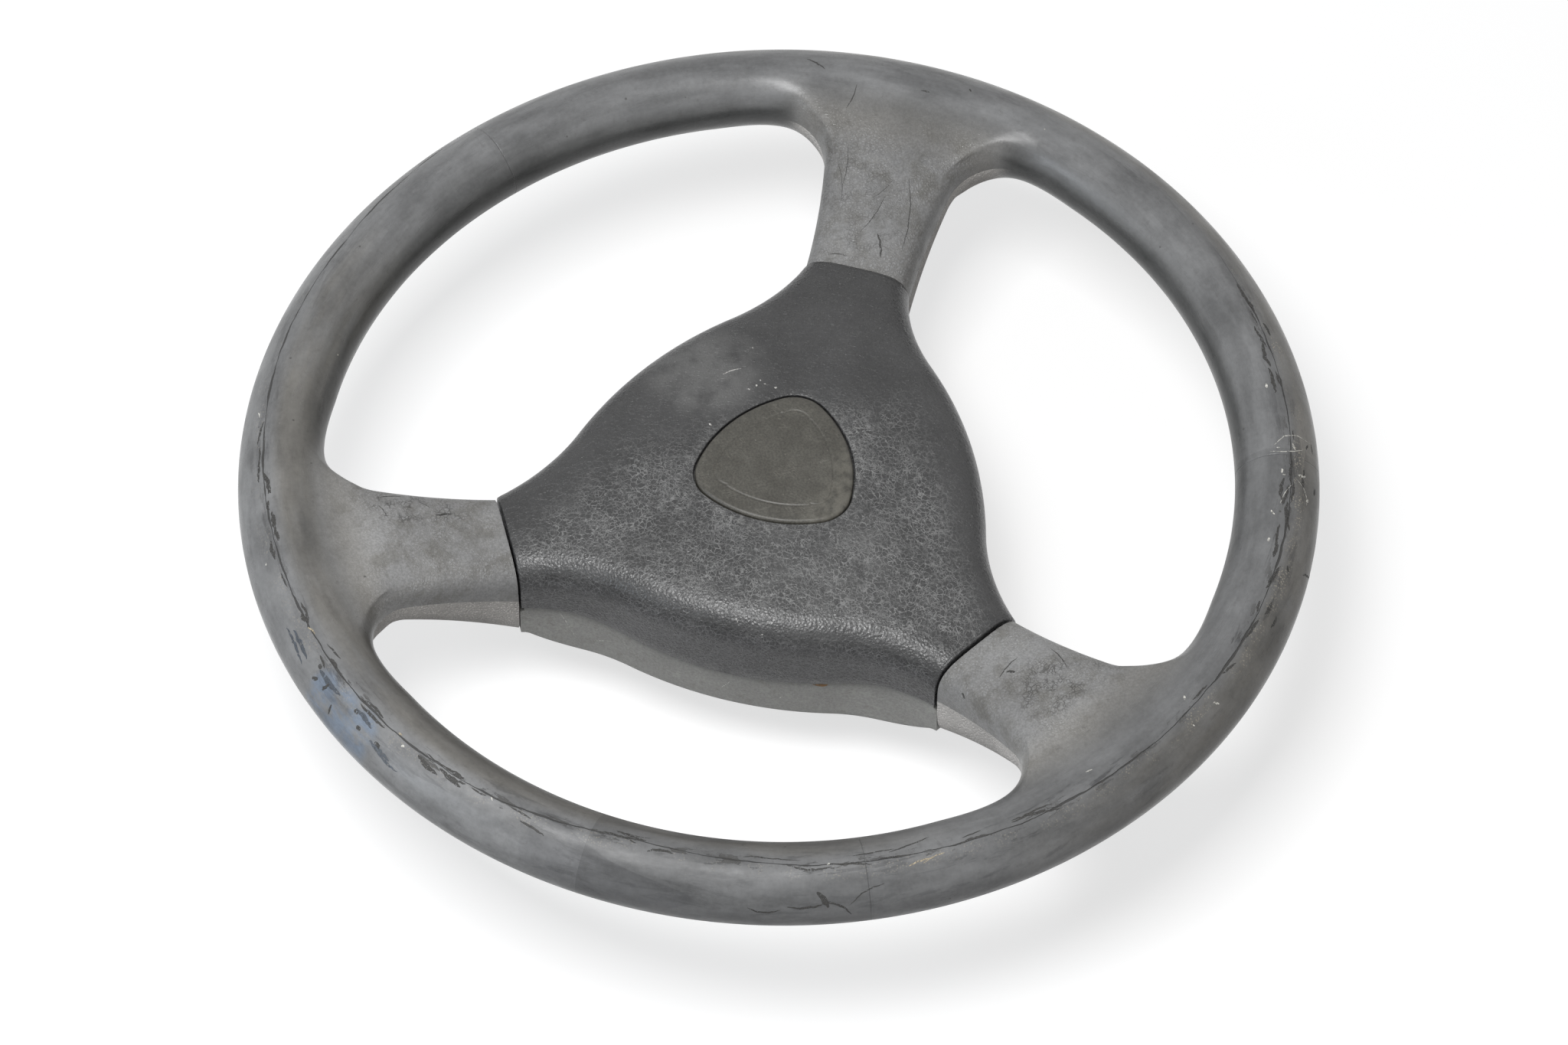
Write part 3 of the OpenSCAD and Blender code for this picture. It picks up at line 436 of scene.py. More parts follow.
def ring_faces(count, closed=False):
    """Faces of a stack of rings, capped at both ends, or joined end to end if closed."""
    n = OUTLINE
    faces = []
    for r in range(count if closed else count - 1):
        r1 = (r + 1) % count
        for k in range(n):
            k1 = (k + 1) % n
            faces.append((r * n + k, r * n + k1, r1 * n + k1, r1 * n + k))
    if not closed:
        faces.append(tuple(reversed(range(n))))
        faces.append(tuple((count - 1) * n + k for k in range(n)))
    return faces


def edge_ring(a, f, cut):
    xy, inset = outline(roll_in(a), f)
    return with_z(xy, face_z(np.linalg.norm(xy, axis=1)) - roll_drop(inset) - cut)


def face_ring(t):
    goal = badge_r(inner_angle, BADGE_GAP)[:, None] * np.stack(
        [np.cos(inner_angle), np.sin(inner_angle)], -1)
    xy = inner_edge + (goal - inner_edge) * t
    return with_z(xy, face_z(np.linalg.norm(xy, axis=1)))


def make_pad():
    lip, skirt, bevel = 0.8 * MM, 2.6 * MM, 0.3 * MM
    rebate = SKIRT_Z + 8.0 * MM
    back_in, back_z, back_bevel = 6 * MM, RIM_Z - 11.5 * MM, 4 * MM
    rings = [flat_ring(back_in, back_z), flat_ring(skirt, back_z - back_bevel),
             flat_ring(skirt, rebate), flat_ring(lip, rebate), skirt_ring(lip),
             skirt_ring(0.25 * MM), skirt_ring(0, bevel)]
    low, high = rings[-1], edge_ring(0, 0, EDGE_ROUND)
    rings += [low + (high - low) * t for t in np.linspace(0, 1, 5)[1:]]
    # The lobes' ends are rounded over the first degrees of the roll
    rounded = 28
    for a in range(4, rounded + 1, 4):
        t = a / rounded
        bow = math.sqrt(1 - (1 - t) ** 2)
        rings.append(edge_ring(math.radians(a), t * 0.5 * EDGE_ROUND,
                               EDGE_ROUND * (1 - bow) * (1 - 0.15 * t) + 0.15 * t * EDGE_ROUND))
    rings += [edge_ring(math.radians(a), EDGE_ROUND, 0) for a in range(rounded + 5, 91, 5)]
    rings += [face_ring(t) for t in np.linspace(0, 1, 15)[1:-1]]
    soft = 0.5 * MM
    for a in (20, 45, 70, 90):
        a = math.radians(a)
        rings.append(badge_ring(BADGE_GAP + soft * (1 - math.sin(a)),
                                PAD_TOP - soft * (1 - math.cos(a))))
    rings.append(badge_ring(BADGE_GAP, RECESS_Z))
    return new_mesh("pad_skin", np.concatenate(rings), ring_faces(len(rings)),
                    "horn_pad", "pad_cover", 38)


def make_badge():
    bevel = 1.4 * MM
    rings = [badge_ring(0, RECESS_Z), badge_ring(0, BADGE_Z - bevel)]
    for a in (20, 40, 60, 80, 90):
        a = math.radians(a)
        rings.append(badge_ring(-bevel * (1 - math.cos(a)), BADGE_Z - bevel * (1 - math.sin(a))))
    crown = 0.5 * MM

    def top(grow):
        return BADGE_Z + crown * min(1, -(grow + bevel) / (5 * bevel)) ** 0.8

    # Distances from the edge and depths, in mm: one shallow groove runs round the top
    for inset, dip in ((3, 0), (5, 0), (6.4, 0), (6.7, 0.2), (7.0, 0.25), (7.3, 0.2), (7.6, 0),
                       (9, 0), (11, 0)):
        rings.append(badge_ring(-inset * MM, top(-inset * MM) - dip * MM))
    centre = rings[-1].mean(0)
    for t in (0.35, 0.7, 0.95):
        rings.append(rings[-1] + (centre - rings[-1]) * t)
    return new_mesh("badge_face", np.concatenate(rings), ring_faces(len(rings)),
                    "horn_pad", "badge", 30)


shroud_edge, _ = outline(SHROUD_IN, SHROUD_IN)
collar_angle = np.arctan2(shroud_edge[:, 1], shroud_edge[:, 0])


def dish_ring(t, d):
    a = wall_ring(SHROUD_IN + DISH_IN + d, SHROUD_EDGE - DISH_SAG + d, (1 - t) ** 2)
    b = polar_ring(COLLAR_R - d, COLLAR_TOP + d, collar_angle)
    ring = a + (b - a) * t
    ring[:, 2] -= DISH_SAG * math.sin(math.pi * t)
    return ring


def make_shroud():
    soft = 0.8 * MM
    top = SKIRT_Z + 5 * MM
    lip = 0.5 * MM
    rings = [polar_ring(COLLAR_R - lip, shroud_low.z, collar_angle),
             polar_ring(COLLAR_R, shroud_low.z + lip, collar_angle)]
    rings += [dish_ring(t, 0) for t in np.linspace(1, 0, 19)]
    for a in (25, 50, 75):
        a = math.radians(a)
        e = soft * (1 - math.sin(a))
        rings.append(wall_ring(SHROUD_IN + e, SHROUD_EDGE - soft * math.cos(a) + soft * 0.2,
                               1.0, END_IN + e))
    low = SHROUD_EDGE + soft
    rings += [wall_ring(SHROUD_IN, low + (END_Z - low) * t, 1 - t, END_IN)
              for t in np.linspace(0, 1, 7)]
    rings += [flat_ring(SHROUD_IN, z) for z in np.linspace(END_Z + END_BEVEL, top, 4)]
    inner = SHROUD_IN + SHROUD_T
    rings += [wall_ring(inner, low + (top - low) * t, 1 - t) for t in np.linspace(1, 0, 4)]
    rings += [dish_ring(t, SHROUD_T) for t in np.linspace(0, 1, 13)]
    rings.append(polar_ring(COLLAR_R - SHROUD_T, shroud_low.z, collar_angle))
    return new_mesh("shroud_shell", np.concatenate(rings), ring_faces(len(rings), True),
                    "wheel", "rear_shroud", 34)


# Materials
def full(color):
    """A colour with its alpha, or a socket as it is."""
    return color if isinstance(color, bpy.types.NodeSocket) else (*color, 1)


class Nodes:
    """Builds nodes in one tree. Each method that makes a value returns its socket."""

    def __init__(self, owner):
        owner.use_nodes = True
        self.tree = owner.node_tree
        self.tree.nodes.clear()

    def put(self, socket, value):
        if isinstance(value, bpy.types.NodeSocket):
            self.tree.links.new(value, socket)
        elif value is not None:
            socket.default_value = value

    def add(self, kind, inputs=None, **settings):
        """A new node with its settings, and its inputs filled by name or number."""
        node = self.tree.nodes.new("ShaderNode" + kind)
        for name, value in settings.items():
            setattr(node, name, value)
        for key, value in (inputs or {}).items():
            self.put(node.inputs[key], value)
        return node

    def math(self, kind, a, b=None, c=None):
        return self.add("Math", {0: a, 1: b, 2: c}, operation=kind).outputs[0]

    def times(self, *values):
        total = values[0]
        for value in values[1:]:
            total = self.math("MULTIPLY", total, value)
        return total

    def most(self, *values):
        total = values[0]
        for value in values[1:]:
            total = self.math("MAXIMUM", total, value)
        return total

    def seen(self):
        """1 for the rays that show the background, by itself, in gloss or through glass."""
        path = self.add("LightPath").outputs
        return self.most(*(path["Is %s Ray" % kind]
                           for kind in ("Camera", "Glossy", "Transmission")))


class Shader(Nodes):
    """Builds one material. The sizes of noise, cells, webs, strokes and shakes are in mm."""

    def __init__(self, name, color=None):
        self.color = color
        self.material = bpy.data.materials.new(name)
        super().__init__(self.material)
        out = self.add("OutputMaterial")
        self.bsdf = self.add("BsdfPrincipled")
        self.put(out.inputs["Surface"], self.bsdf.outputs["BSDF"])
        self.place = self.add("TexCoord").outputs["Object"]
        self.x, self.y, self.z = self.split(self.place)
        self.r = self.math("SQRT", self.math("ADD", self.times(self.x, self.x),
                                             self.times(self.y, self.y)))
        self.turn = self.math("MULTIPLY_ADD", self.math("ARCTAN2", self.y, self.x),
                              0.5 / math.pi, 0.5)

    def span(self, value, low, high, start=0.0, end=1.0):
        """Value from low to high, eased and spread from start to end."""
        return self.add("MapRange", {"Value": value, "From Min": low, "From Max": high,
                                     "To Min": start, "To Max": end},
                        interpolation_type="SMOOTHSTEP").outputs[0]

    def vector(self, x, y, z):
        return self.add("CombineXYZ", {0: x, 1: y, 2: z}).outputs[0]

    def split(self, vector):
        return self.add("SeparateXYZ", {0: vector}).outputs

    def moved(self, vector, offset=(0, 0, 0), stretch=(1, 1, 1), turn_z=0.0):
        """The place, moved back, turned back, and then shrunk by the stretch."""
        return self.add("Mapping", {"Vector": vector, "Location": offset, "Scale": stretch,
                                    "Rotation": (0, 0, turn_z)}, vector_type="TEXTURE").outputs[0]

    def noise(self, size, detail=3.0, rough=0.5, at=None, swirl=0.0, output="Fac"):
        return self.add("TexNoise", {"Vector": at or self.place, "Scale": 1 / (size * MM),
                                     "Detail": detail, "Roughness": rough,
                                     "Distortion": swirl}).outputs[output]

    def cells(self, size, feature="F1", at=None):
        return self.add("TexVoronoi", {"Vector": at or self.place, "Scale": 1 / (size * MM)},
                        feature=feature).outputs["Distance"]

    def blend(self, share, a, b, kind="MIX"):
        return self.add("Mix", {"Factor": share, 6: full(a), 7: full(b)},
                        data_type="RGBA", blend_type=kind).outputs[2]

    def value(self, name):
        return self.add("Attribute", attribute_name=name).outputs["Fac"]

    def bump(self, height, depth, below=None):
        return self.add("Bump", {"Height": height, "Distance": depth,
                                 "Normal": below}).outputs["Normal"]

    def shaken(self, size, amount):
        """The place, pushed about by a noise of that size."""
        return self.add("VectorMath", {0: self.noise(size, 2, output="Color"),
                                       1: (2 * amount * MM,) * 3, 2: self.place},
                        operation="MULTIPLY_ADD").outputs[0]

    def invert(self, value):
        return self.math("SUBTRACT", 1.0, value)

    def thin(self, value, low, high):
        """1 where the value is under low, falling to 0 at high."""
        return self.invert(self.span(value, low, high))

    def web(self, size, low, high, at=None):
        """Lines along the borders of random cells of that size."""
        return self.thin(self.cells(size, "DISTANCE_TO_EDGE", at), low, high)

    def strokes(self, size, length, turn_z, low, high, at=None):
        """Short straight strokes in one direction, thin against their length."""
        place = self.moved(at or self.place, (0, 0, 0), (length / size, 1, 1), turn_z)
        lines = self.noise(size, 1.5, 0.5, place)
        return self.thin(self.math("ABSOLUTE", self.math("SUBTRACT", lines, 0.5)), low, high)

    def zone(self, x, y, radius):
        """1 about a place seen from the front, in mm, falling to 0 at the radius."""
        node = self.add("VectorMath", {0: self.vector(self.x, self.y, 0.0),
                                       1: (x * MM, y * MM, 0)}, operation="DISTANCE")
        return self.thin(node.outputs["Value"], 0.45 * radius * MM, radius * MM)

    def towards(self, degrees):
        """How far a place lies from the column in one direction."""
        a = math.radians(degrees)
        return self.math("ADD", self.times(self.x, math.cos(a)), self.times(self.y, math.sin(a)))

    def by_angle(self, stops, low=0.0, high=1.0, kind="LINEAR"):
        """A value set by the angle about the column, from stops of (degrees, value)."""
        node = self.add("ValToRGB", {"Fac": self.turn})
        ramp = node.color_ramp
        ramp.interpolation = kind
        ramp.elements.remove(ramp.elements[-1])
        for n, (degrees, value) in enumerate(stops):
            place = (degrees + 180) / 360
            stop = ramp.elements[0] if n == 0 else ramp.elements.new(place)
            stop.position = place
            share = (value - low) / (high - low)
            stop.color = (share, share, share, 1)
        return self.math("MULTIPLY_ADD", node.outputs["Color"], high - low, low)

    def paint(self, color, *shares):
        """Lays a colour over the present one, as far as the product of the shares says."""
        self.color = self.blend(self.times(*shares), self.color, color)

    def tint(self, factor, *shares):
        """Multiplies the present colour by a factor, as far as the shares say."""
        self.paint(self.blend(1.0, self.color, factor, "MULTIPLY"), *shares)

    def scaled(self, value):
        """The present colour multiplied by one number."""
        return self.blend(1.0, self.color, self.vector(value, value, value), "MULTIPLY")

    def finish(self, rough, metal=0.0, normal=None, specular=0.5):
        for name, value in (("Base Color", full(self.color)), ("Roughness", rough),
                            ("Metallic", metal), ("Specular IOR Level", specular),
                            ("Normal", normal)):
            self.put(self.bsdf.inputs[name], value)
        return self.material


def grey(v, warm=0.0):
    return (v * (1 + warm), v, v * (1 - warm))


def plain(name, color, rough, metal=0.0, speckle=0.06):
    """An even finish with a little unevenness of tone and surface."""
    s = Shader(name)
    tone = s.span(s.noise(1.5, 4), 0.3, 0.7)
    low = tuple(c * (1 - speckle) for c in color)
    high = tuple(min(1, c * (1 + speckle)) for c in color)
    s.color = s.blend(tone, low, high)
    return s.finish(s.span(tone, 0, 1, rough - 0.05, rough + 0.06), metal,
                    s.bump(s.noise(0.5), 0.02 * MM))


# Colours
FOAM = grey(0.163, -0.01)
WALL_LIGHT, WALL_DARK = grey(0.72, 0.04), grey(0.52, 0.04)
CRACK, FLAKE, PIT = (0.03, 0.029, 0.027), (0.055, 0.053, 0.05), (0.05, 0.048, 0.045)
WRINKLE = (0.06, 0.058, 0.055)
CRUMB, DOT = (0.34, 0.31, 0.255), (0.5, 0.48, 0.42)
PAD_LINE, PAD_DUST_AND_SHEEN, PAD_BELOW = (0.25, 0.25, 0.247), (0.21, 0.21, 0.205), (0.24, 0.24, 0.235)
PAD_DUST = (0.3, 0.3, 0.29)
BADGE_DARK, BADGE_LIGHT = (0.050, 0.047, 0.039), (0.070, 0.067, 0.057)
BADGE_PALE, BADGE_HAIR, BADGE_SPECK = (0.2, 0.19, 0.16), (0.25, 0.24, 0.21), (0.3, 0.28, 0.24)
SHROUD_DARK, SHROUD_PALE = (0.25, 0.248, 0.236), (0.32, 0.317, 0.305)
SHROUD_SMEAR, SHROUD_HAIR = (0.38, 0.38, 0.36), (0.45, 0.45, 0.43)

# Tone of the spokes' faces, by the angle about the column
SPOKE_TONE = ((-180, 0.2), (-130, 0.275), (-40, 0.275), (0, 0.25), (70, 0.25), (100, 0.2),
              (180, 0.2))

# The moulding's seams, and the tone from each one on
SEAMS = (-157, -4.5, 75)
RIM_TONE = ((-180, 1.0), (-157, 1.05), (-36, 0.82), (-4.5, 0.88), (75, 1.0))

# The crack round the rim's face: angle about the column in degrees and radius in mm
CRACK_LINE = ((-180, 185), (-156, 185), (-136, 181.6), (-118, 182), (-92, 180), (-59, 178.7),
              (-46, 177.3), (-30, 172.8), (-10, 176.7), (14, 178.7), (32, 179), (52, 179.3),
              (76, 179), (101, 179), (180, 184))


def foam_material():
    s = Shader("worn_foam")
    spoke, wall = s.value("spoke"), s.value("wall")
    # The rim's ring drawn in to a smaller one, so that noise runs long round the rim
    drawn = s.math("DIVIDE", s.math("SUBTRACT", s.r, ROD_R - 45 * MM), s.r)
    along = s.vector(s.times(s.x, drawn), s.times(s.y, drawn), s.z)
    drawn = s.math("DIVIDE", s.math("SUBTRACT", s.r, ROD_R - 22 * MM), s.r)
    long = s.vector(s.times(s.x, drawn), s.times(s.y, drawn), s.z)
    upper = s.span(s.z, RIM_Z - 3 * MM, RIM_Z + 3 * MM)
    off = s.math("SUBTRACT", s.r, s.times(s.by_angle(CRACK_LINE, 170, 190), MM))
    outside = s.span(off, -1 * MM, 4 * MM)
    inside = s.thin(off, -7 * MM, -1 * MM)
    rim_only = s.thin(spoke, 0.0, 0.3)

    # Cloudy tone
    clouds = s.span(s.noise(26, 4, 0.55), 0.3, 0.7, -1, 1)
    streaks = s.span(s.noise(7, 4, 0.6, along), 0.3, 0.7, -1, 1)
    fine = s.span(s.noise(1.6, 4, 0.65), 0.25, 0.75, -1, 1)
    mottle = s.span(s.noise(3.5, 5, 0.7), 0.54, 0.7)
    tone = s.math("ADD", s.math("MULTIPLY_ADD", clouds, 0.16, 1.0),
                  s.math("ADD", s.times(streaks, rim_only, 0.2), s.times(fine, 0.08)))
    zones = s.by_angle(RIM_TONE, 0.5, 1.5, "CONSTANT")
    tone = s.times(tone, s.math("MULTIPLY_ADD", s.math("SUBTRACT", zones, 1.0), rim_only, 1.0))
    level = s.by_angle(SPOKE_TONE, 0.1, 0.4)
    s.color = s.blend(s.span(spoke, 0.15, 0.95), FOAM, s.vector(level, level, level))
    grain = s.span(s.cells(0.9), 0.1, 0.6, -1, 1)
    s.paint(s.blend(s.span(grain, -1, 1), WALL_LIGHT, WALL_DARK), wall)
    s.color = s.scaled(tone)
    s.tint((0.7, 0.69, 0.68), mottle, s.span(clouds, -1, 1, 0.1, 0.6))

    # Darker along the rim's inner edge all round
    inner = s.times(s.thin(s.r, RIM_IN + 0.5 * MM, RIM_IN + 5 * MM), rim_only)
    s.tint((0.5, 0.5, 0.49), inner)
    # Painted shade on the inner side, strongest towards the left, broken up by streaks
    shaded = s.times(s.thin(s.r, RIM_IN + 4 * MM, RIM_IN + 13 * MM), rim_only,
                     s.by_angle(((-180, 0.3), (-150, 0.8), (-110, 1), (-60, 0.7), (-30, 0.2),
                                 (180, 0.3))), s.span(s.noise(9, 4, 0.6, along), 0.2, 0.6))
    s.tint((0.64, 0.64, 0.63), shaded)

    # Dark streaks round the rim, strongest beside the crack and at the lower right
    dark = s.times(s.span(s.noise(5, 5, 0.7, long, 0.4), 0.54, 0.62), rim_only,
                   s.most(s.thin(s.math("ABSOLUTE", off), 2 * MM, 9 * MM), s.times(outside, 0.5)),
                   s.by_angle(((-180, 0.35), (-90, 0.6), (-55, 0.8), (-10, 0.7), (10, 1),
                               (60, 1), (90, 0.5), (180, 0.35))))
    s.tint((0.52, 0.52, 0.53), dark)

    # Browner and darker on the outer side at the top and right and on the inner side at the lower
    # left, the sides turned from the light: dust, and painted shade
    warm = s.by_angle(((-180, 0.9), (-150, 0.5), (-125, -0.8), (-15, -0.8), (15, 0.2),
                       (40, 0.9), (180, 0.9)), -1, 1)
    dust_and_shade = s.math("ADD", s.times(outside, s.most(warm, 0.0)),
                  s.times(inside, s.most(s.times(warm, -1.0), 0.0)))
    dust_and_shade = s.times(dust_and_shade, rim_only, s.span(s.noise(12, 3, 0.6, along), 0.2, 0.6))
    s.tint((0.84, 0.79, 0.70), dust_and_shade)
    # Warmer and a little darker in the valleys where the spokes run into the rim: grime, and
    # painted shade
    valley = s.times(spoke, s.invert(spoke), 4.0, s.invert(wall))
    s.tint((1.0, 0.975, 0.93), valley)

    # A painted cold sheen of reflected light at the left, where the skin is also polished
    # smoother
    sheen_and_polish = s.most(s.zone(71, -172.5, 9), s.zone(61, -176, 8), s.zone(81, -168, 9))
    s.tint((0.86, 1.03, 1.28), sheen_and_polish, s.span(s.noise(4, 3, 0.6, along), 0.3, 0.55))

    # Worn off skin with crisp edges, along the lower part of the rim
    patch = s.times(s.span(s.noise(24, 3, 0.5, along, 0.6), 0.5, 0.512),
                    s.by_angle(((-180, 0), (-46, 0), (-38, 1), (-9, 1), (-4, 0))), upper,
                    s.span(off, -3 * MM, -1 * MM))
    s.tint((0.76, 0.76, 0.77), patch)

    # Crack, with dark ragged flakes on both sides and pale crumbs outside it
    present = s.times(s.by_angle(((-180, 0), (-160, 0), (-150, 1), (96, 1), (108, 0))), upper,
                      rim_only)
    wobble = s.math("MULTIPLY_ADD", s.noise(9, 3), 1.4 * MM, -0.7 * MM)
    away = s.math("ABSOLUTE", s.math("ADD", off, wobble))
    width = s.span(s.noise(15, 2), 0.38, 0.7, -0.05 * MM, 0.32 * MM)
    crack = s.times(s.thin(s.math("SUBTRACT", away, width), 0.0, 0.22 * MM), present)
    near = s.thin(s.math("ABSOLUTE", off), 0.6 * MM, 4.5 * MM)
    ragged = s.by_angle(((-180, 0.2), (-80, 0.4), (-66, 1), (-8, 0.9), (8, 0.55), (60, 0.8),
                         (100, 0.5), (115, 0)))
    flakes = s.times(s.span(s.noise(3.2, 5, 0.7, along), 0.56, 0.61), near, present,
                     ragged)
    crumbs_at = s.times(s.span(off, 0.1 * MM, 1.0 * MM), s.thin(off, 3.0 * MM, 6.5 * MM))
    crumbs = s.times(s.thin(s.cells(0.9), 0.2, 0.42), crumbs_at, present,
                     s.span(s.noise(9, 3), 0.4, 0.62),
                     s.by_angle(((-180, 0.1), (-70, 0.5), (-20, 0.4), (20, 0.4), (45, 1),
                                 (110, 1), (120, 0.2))))
    s.paint(CRUMB, crumbs, 0.75)
    s.paint(FLAKE, flakes, 0.8)
    s.paint(CRACK, crack, 0.85)

    # Loose dots: dark pits all round, a few pale ones
    pits = s.times(s.thin(s.cells(11), 0.03, 0.055), upper)
    s.paint(PIT, pits, 0.7)
    dots = s.thin(s.cells(17, at=s.moved(s.place, (0.3, 0.1, 0.2))), 0.012, 0.022)
    s.paint(DOT, dots, 0.8)

    # Seams of the moulding
    seams = []
    for degrees in SEAMS:
        gap = s.math("ABSOLUTE", s.math("SUBTRACT", s.turn, (degrees + 180) / 360))
        seams.append(s.thin(s.times(gap, 2 * math.pi * ROD_R), 0.05 * MM, 0.35 * MM))
    seams = s.most(*seams)
    s.tint((0.86, 0.86, 0.86), seams, rim_only)

    # Wrinkled skin on the spokes
    bent = s.shaken(5, 1.5)
    worn = s.most(s.zone(116, 66, 19), s.zone(105, 88, 15), s.zone(-14, -134, 15),
                  s.zone(-8, -120, 12), s.times(s.zone(-120, 55, 22), 0.6),
                  s.times(s.zone(-98, 58, 14), 0.5))
    wrinkles = s.times(s.most(s.web(3.4, 0.015, 0.06, bent),
                              s.web(1.7, 0.02, 0.09, s.shaken(3, 1))),
                       s.span(s.noise(6, 3), 0.42, 0.62), worn, spoke, s.invert(wall))
    s.paint(WRINKLE, wrinkles, 0.7)
    face = s.times(spoke, s.invert(wall))
    soft_web = s.times(s.most(s.web(2.1, 0.03, 0.14, s.shaken(4, 1.5)),
                              s.web(1.2, 0.05, 0.2, s.shaken(2, 0.8))), face,
                       s.span(s.noise(13, 3), 0.35, 0.62, 0.1, 1))
    s.tint((0.80, 0.79, 0.77), soft_web)
    blots = s.span(s.noise(9, 5, 0.65, s.shaken(12, 4)), 0.44, 0.68)
    s.tint((0.72, 0.71, 0.68), blots, face)
    pores = s.span(s.noise(0.8, 4, 0.7), 0.35, 0.65, 0.84, 1.14)
    s.paint(s.scaled(pores), face, 0.8)

    rough = s.span(s.noise(5, 4, 0.6, along), 0.3, 0.7, 0.24, 0.40)
    rough = s.math("SUBTRACT", rough, s.times(sheen_and_polish, 0.06))
    rough = s.math("ADD", rough, s.by_angle(((-180, 0), (-60, 0), (-35, 0.14), (-5, 0.14),
                                             (25, 0)), 0, 0.2))
    rough = s.most(rough, s.times(spoke, s.span(s.noise(8, 4), 0.35, 0.65, 0.34, 0.46)),
                   s.times(s.most(crack, flakes, wall), 0.7))
    groove = s.math("SUBTRACT", 1.0, s.most(crack, s.times(flakes, 0.5), s.times(seams, 0.4),
                                            s.times(wrinkles, 0.4), s.times(soft_web, 0.25)))
    skin = s.bump(s.noise(0.7, 3, 0.6), s.span(spoke, 0, 1, 0.012 * MM, 0.05 * MM))
    skin = s.bump(grain, s.times(wall, 0.12 * MM), skin)
    skin = s.bump(s.noise(6, 3, 0.5), 0.12 * MM, skin)
    return s.finish(rough, 0.0, s.bump(groove, 0.35 * MM, skin), 0.38)


def pad_material():
    s = Shader("grained_skin")
    # The pad stays smoother towards the photo's top and right
    smooth_sides = s.most(s.span(s.towards(210), 30 * MM, 52 * MM),
                          s.span(s.towards(90), 44 * MM, 60 * MM),
                          s.span(s.times(s.x, -1.0), 6 * MM, 30 * MM))
    cloud = s.noise(20, 4, 0.55)
    rubbed = s.times(s.invert(s.times(smooth_sides, 0.9)), s.span(cloud, 0.3, 0.6, 0.6, 1))
    bent = s.shaken(4, 1.2)
    netting = s.most(s.web(1.9, 0.012, 0.07, s.shaken(2, 0.8)),
                     s.times(s.web(3.6, 0.008, 0.034, bent), 0.9))
    hairs = []
    for n, (angle, length) in enumerate(((0.1, 8), (0.9, 7), (1.7, 9), (2.5, 7))):
        shown = s.span(s.noise(8, 2, 0.5, s.moved(s.place, (n, 0, 0))), 0.5, 0.6)
        hairs.append(s.times(s.strokes(1.1, length, angle, 0.004, 0.02, bent), shown))
    broken = s.times(s.span(s.noise(7, 2), 0.34, 0.56, 0.5, 1),
                     s.span(s.noise(1.6, 3, 0.6), 0.36, 0.56, 0.35, 1))
    # The band that rolls over from the face to the skirt stays smooth
    steep = s.split(s.add("NewGeometry").outputs["Normal"])[2]
    rolled = s.times(s.span(steep, 0.35, 0.55), s.thin(steep, 0.88, 0.96))
    lines = s.times(s.most(s.times(netting, broken), s.times(s.most(*hairs), 0.8)), rubbed,
                    s.invert(s.times(rolled, 0.75)))
    tone = s.span(cloud, 0.3, 0.7, 0.029, 0.043)
    s.color = s.vector(tone, tone, s.times(tone, 1.01))
    s.paint(PAD_LINE, lines, 0.8)
    # Darker where the sides turn steep, over the skirt: painted shade
    s.tint((0.66, 0.66, 0.68), s.thin(steep, 0.3, 0.6))
    # A pale haze on the face above the badge and to its left: dust, and a painted sheen
    haze_dust_and_sheen = s.times(s.zone(-47, -16, 26), s.span(s.noise(11, 4, 0.6), 0.25, 0.65))
    s.paint(PAD_DUST_AND_SHEEN, haze_dust_and_sheen, 0.4)
    # Dust below the badge, and in the corner beside it
    below = s.times(s.zone(44, 4, 36), s.span(s.noise(9, 4, 0.65), 0.3, 0.6), rubbed)
    s.paint(PAD_BELOW, below, 0.16)
    edge = s.thin(s.math("ABSOLUTE", s.math("SUBTRACT", s.r, 29 * MM)), 0, 3.5 * MM)
    dusty = s.times(edge, s.span(s.noise(2, 4, 0.7), 0.5, 0.62), rubbed)
    s.paint(PAD_DUST, dusty, 0.35)
    grain = s.cells(1.0, at=s.shaken(1.5, 0.3))
    fine = s.noise(0.5, 3, 0.6)
    normal = s.bump(grain, 0.14 * MM)
    normal = s.bump(fine, 0.03 * MM, normal)
    normal = s.bump(s.invert(netting), 0.05 * MM, normal)
    rough = s.span(s.noise(4, 3), 0.3, 0.7, 0.25, 0.34)
    return s.finish(s.most(rough, s.times(lines, 0.6)), 0.0, normal, 0.48)


def badge_material():
    s = Shader("badge_plastic")
    tone = s.span(s.noise(9, 4, 0.6), 0.3, 0.7)
    s.color = s.blend(tone, BADGE_DARK, BADGE_LIGHT)
    dust = s.span(s.noise(0.8, 4, 0.7), 0.35, 0.65, 0.72, 1.3)
    s.color = s.scaled(dust)
    pale = s.times(s.span(s.towards(55), 12 * MM, 25 * MM), s.span(s.noise(3, 4), 0.3, 0.6))
    s.paint(BADGE_PALE, pale, 0.35)
    hair = s.most(s.strokes(0.5, 14, 1.55, 0.005, 0.02),
                  s.strokes(0.5, 10, 0.5, 0.005, 0.02))
    hair = s.times(hair, s.span(s.noise(8, 2), 0.5, 0.65))
    s.paint(BADGE_HAIR, hair, 0.3)
    specks = s.thin(s.cells(3.5), 0.04, 0.07)
    s.paint(BADGE_SPECK, specks, 0.4)
    return s.finish(s.span(tone, 0, 1, 0.4, 0.5), 0.0, s.bump(s.noise(0.6, 3), 0.02 * MM), 0.45)


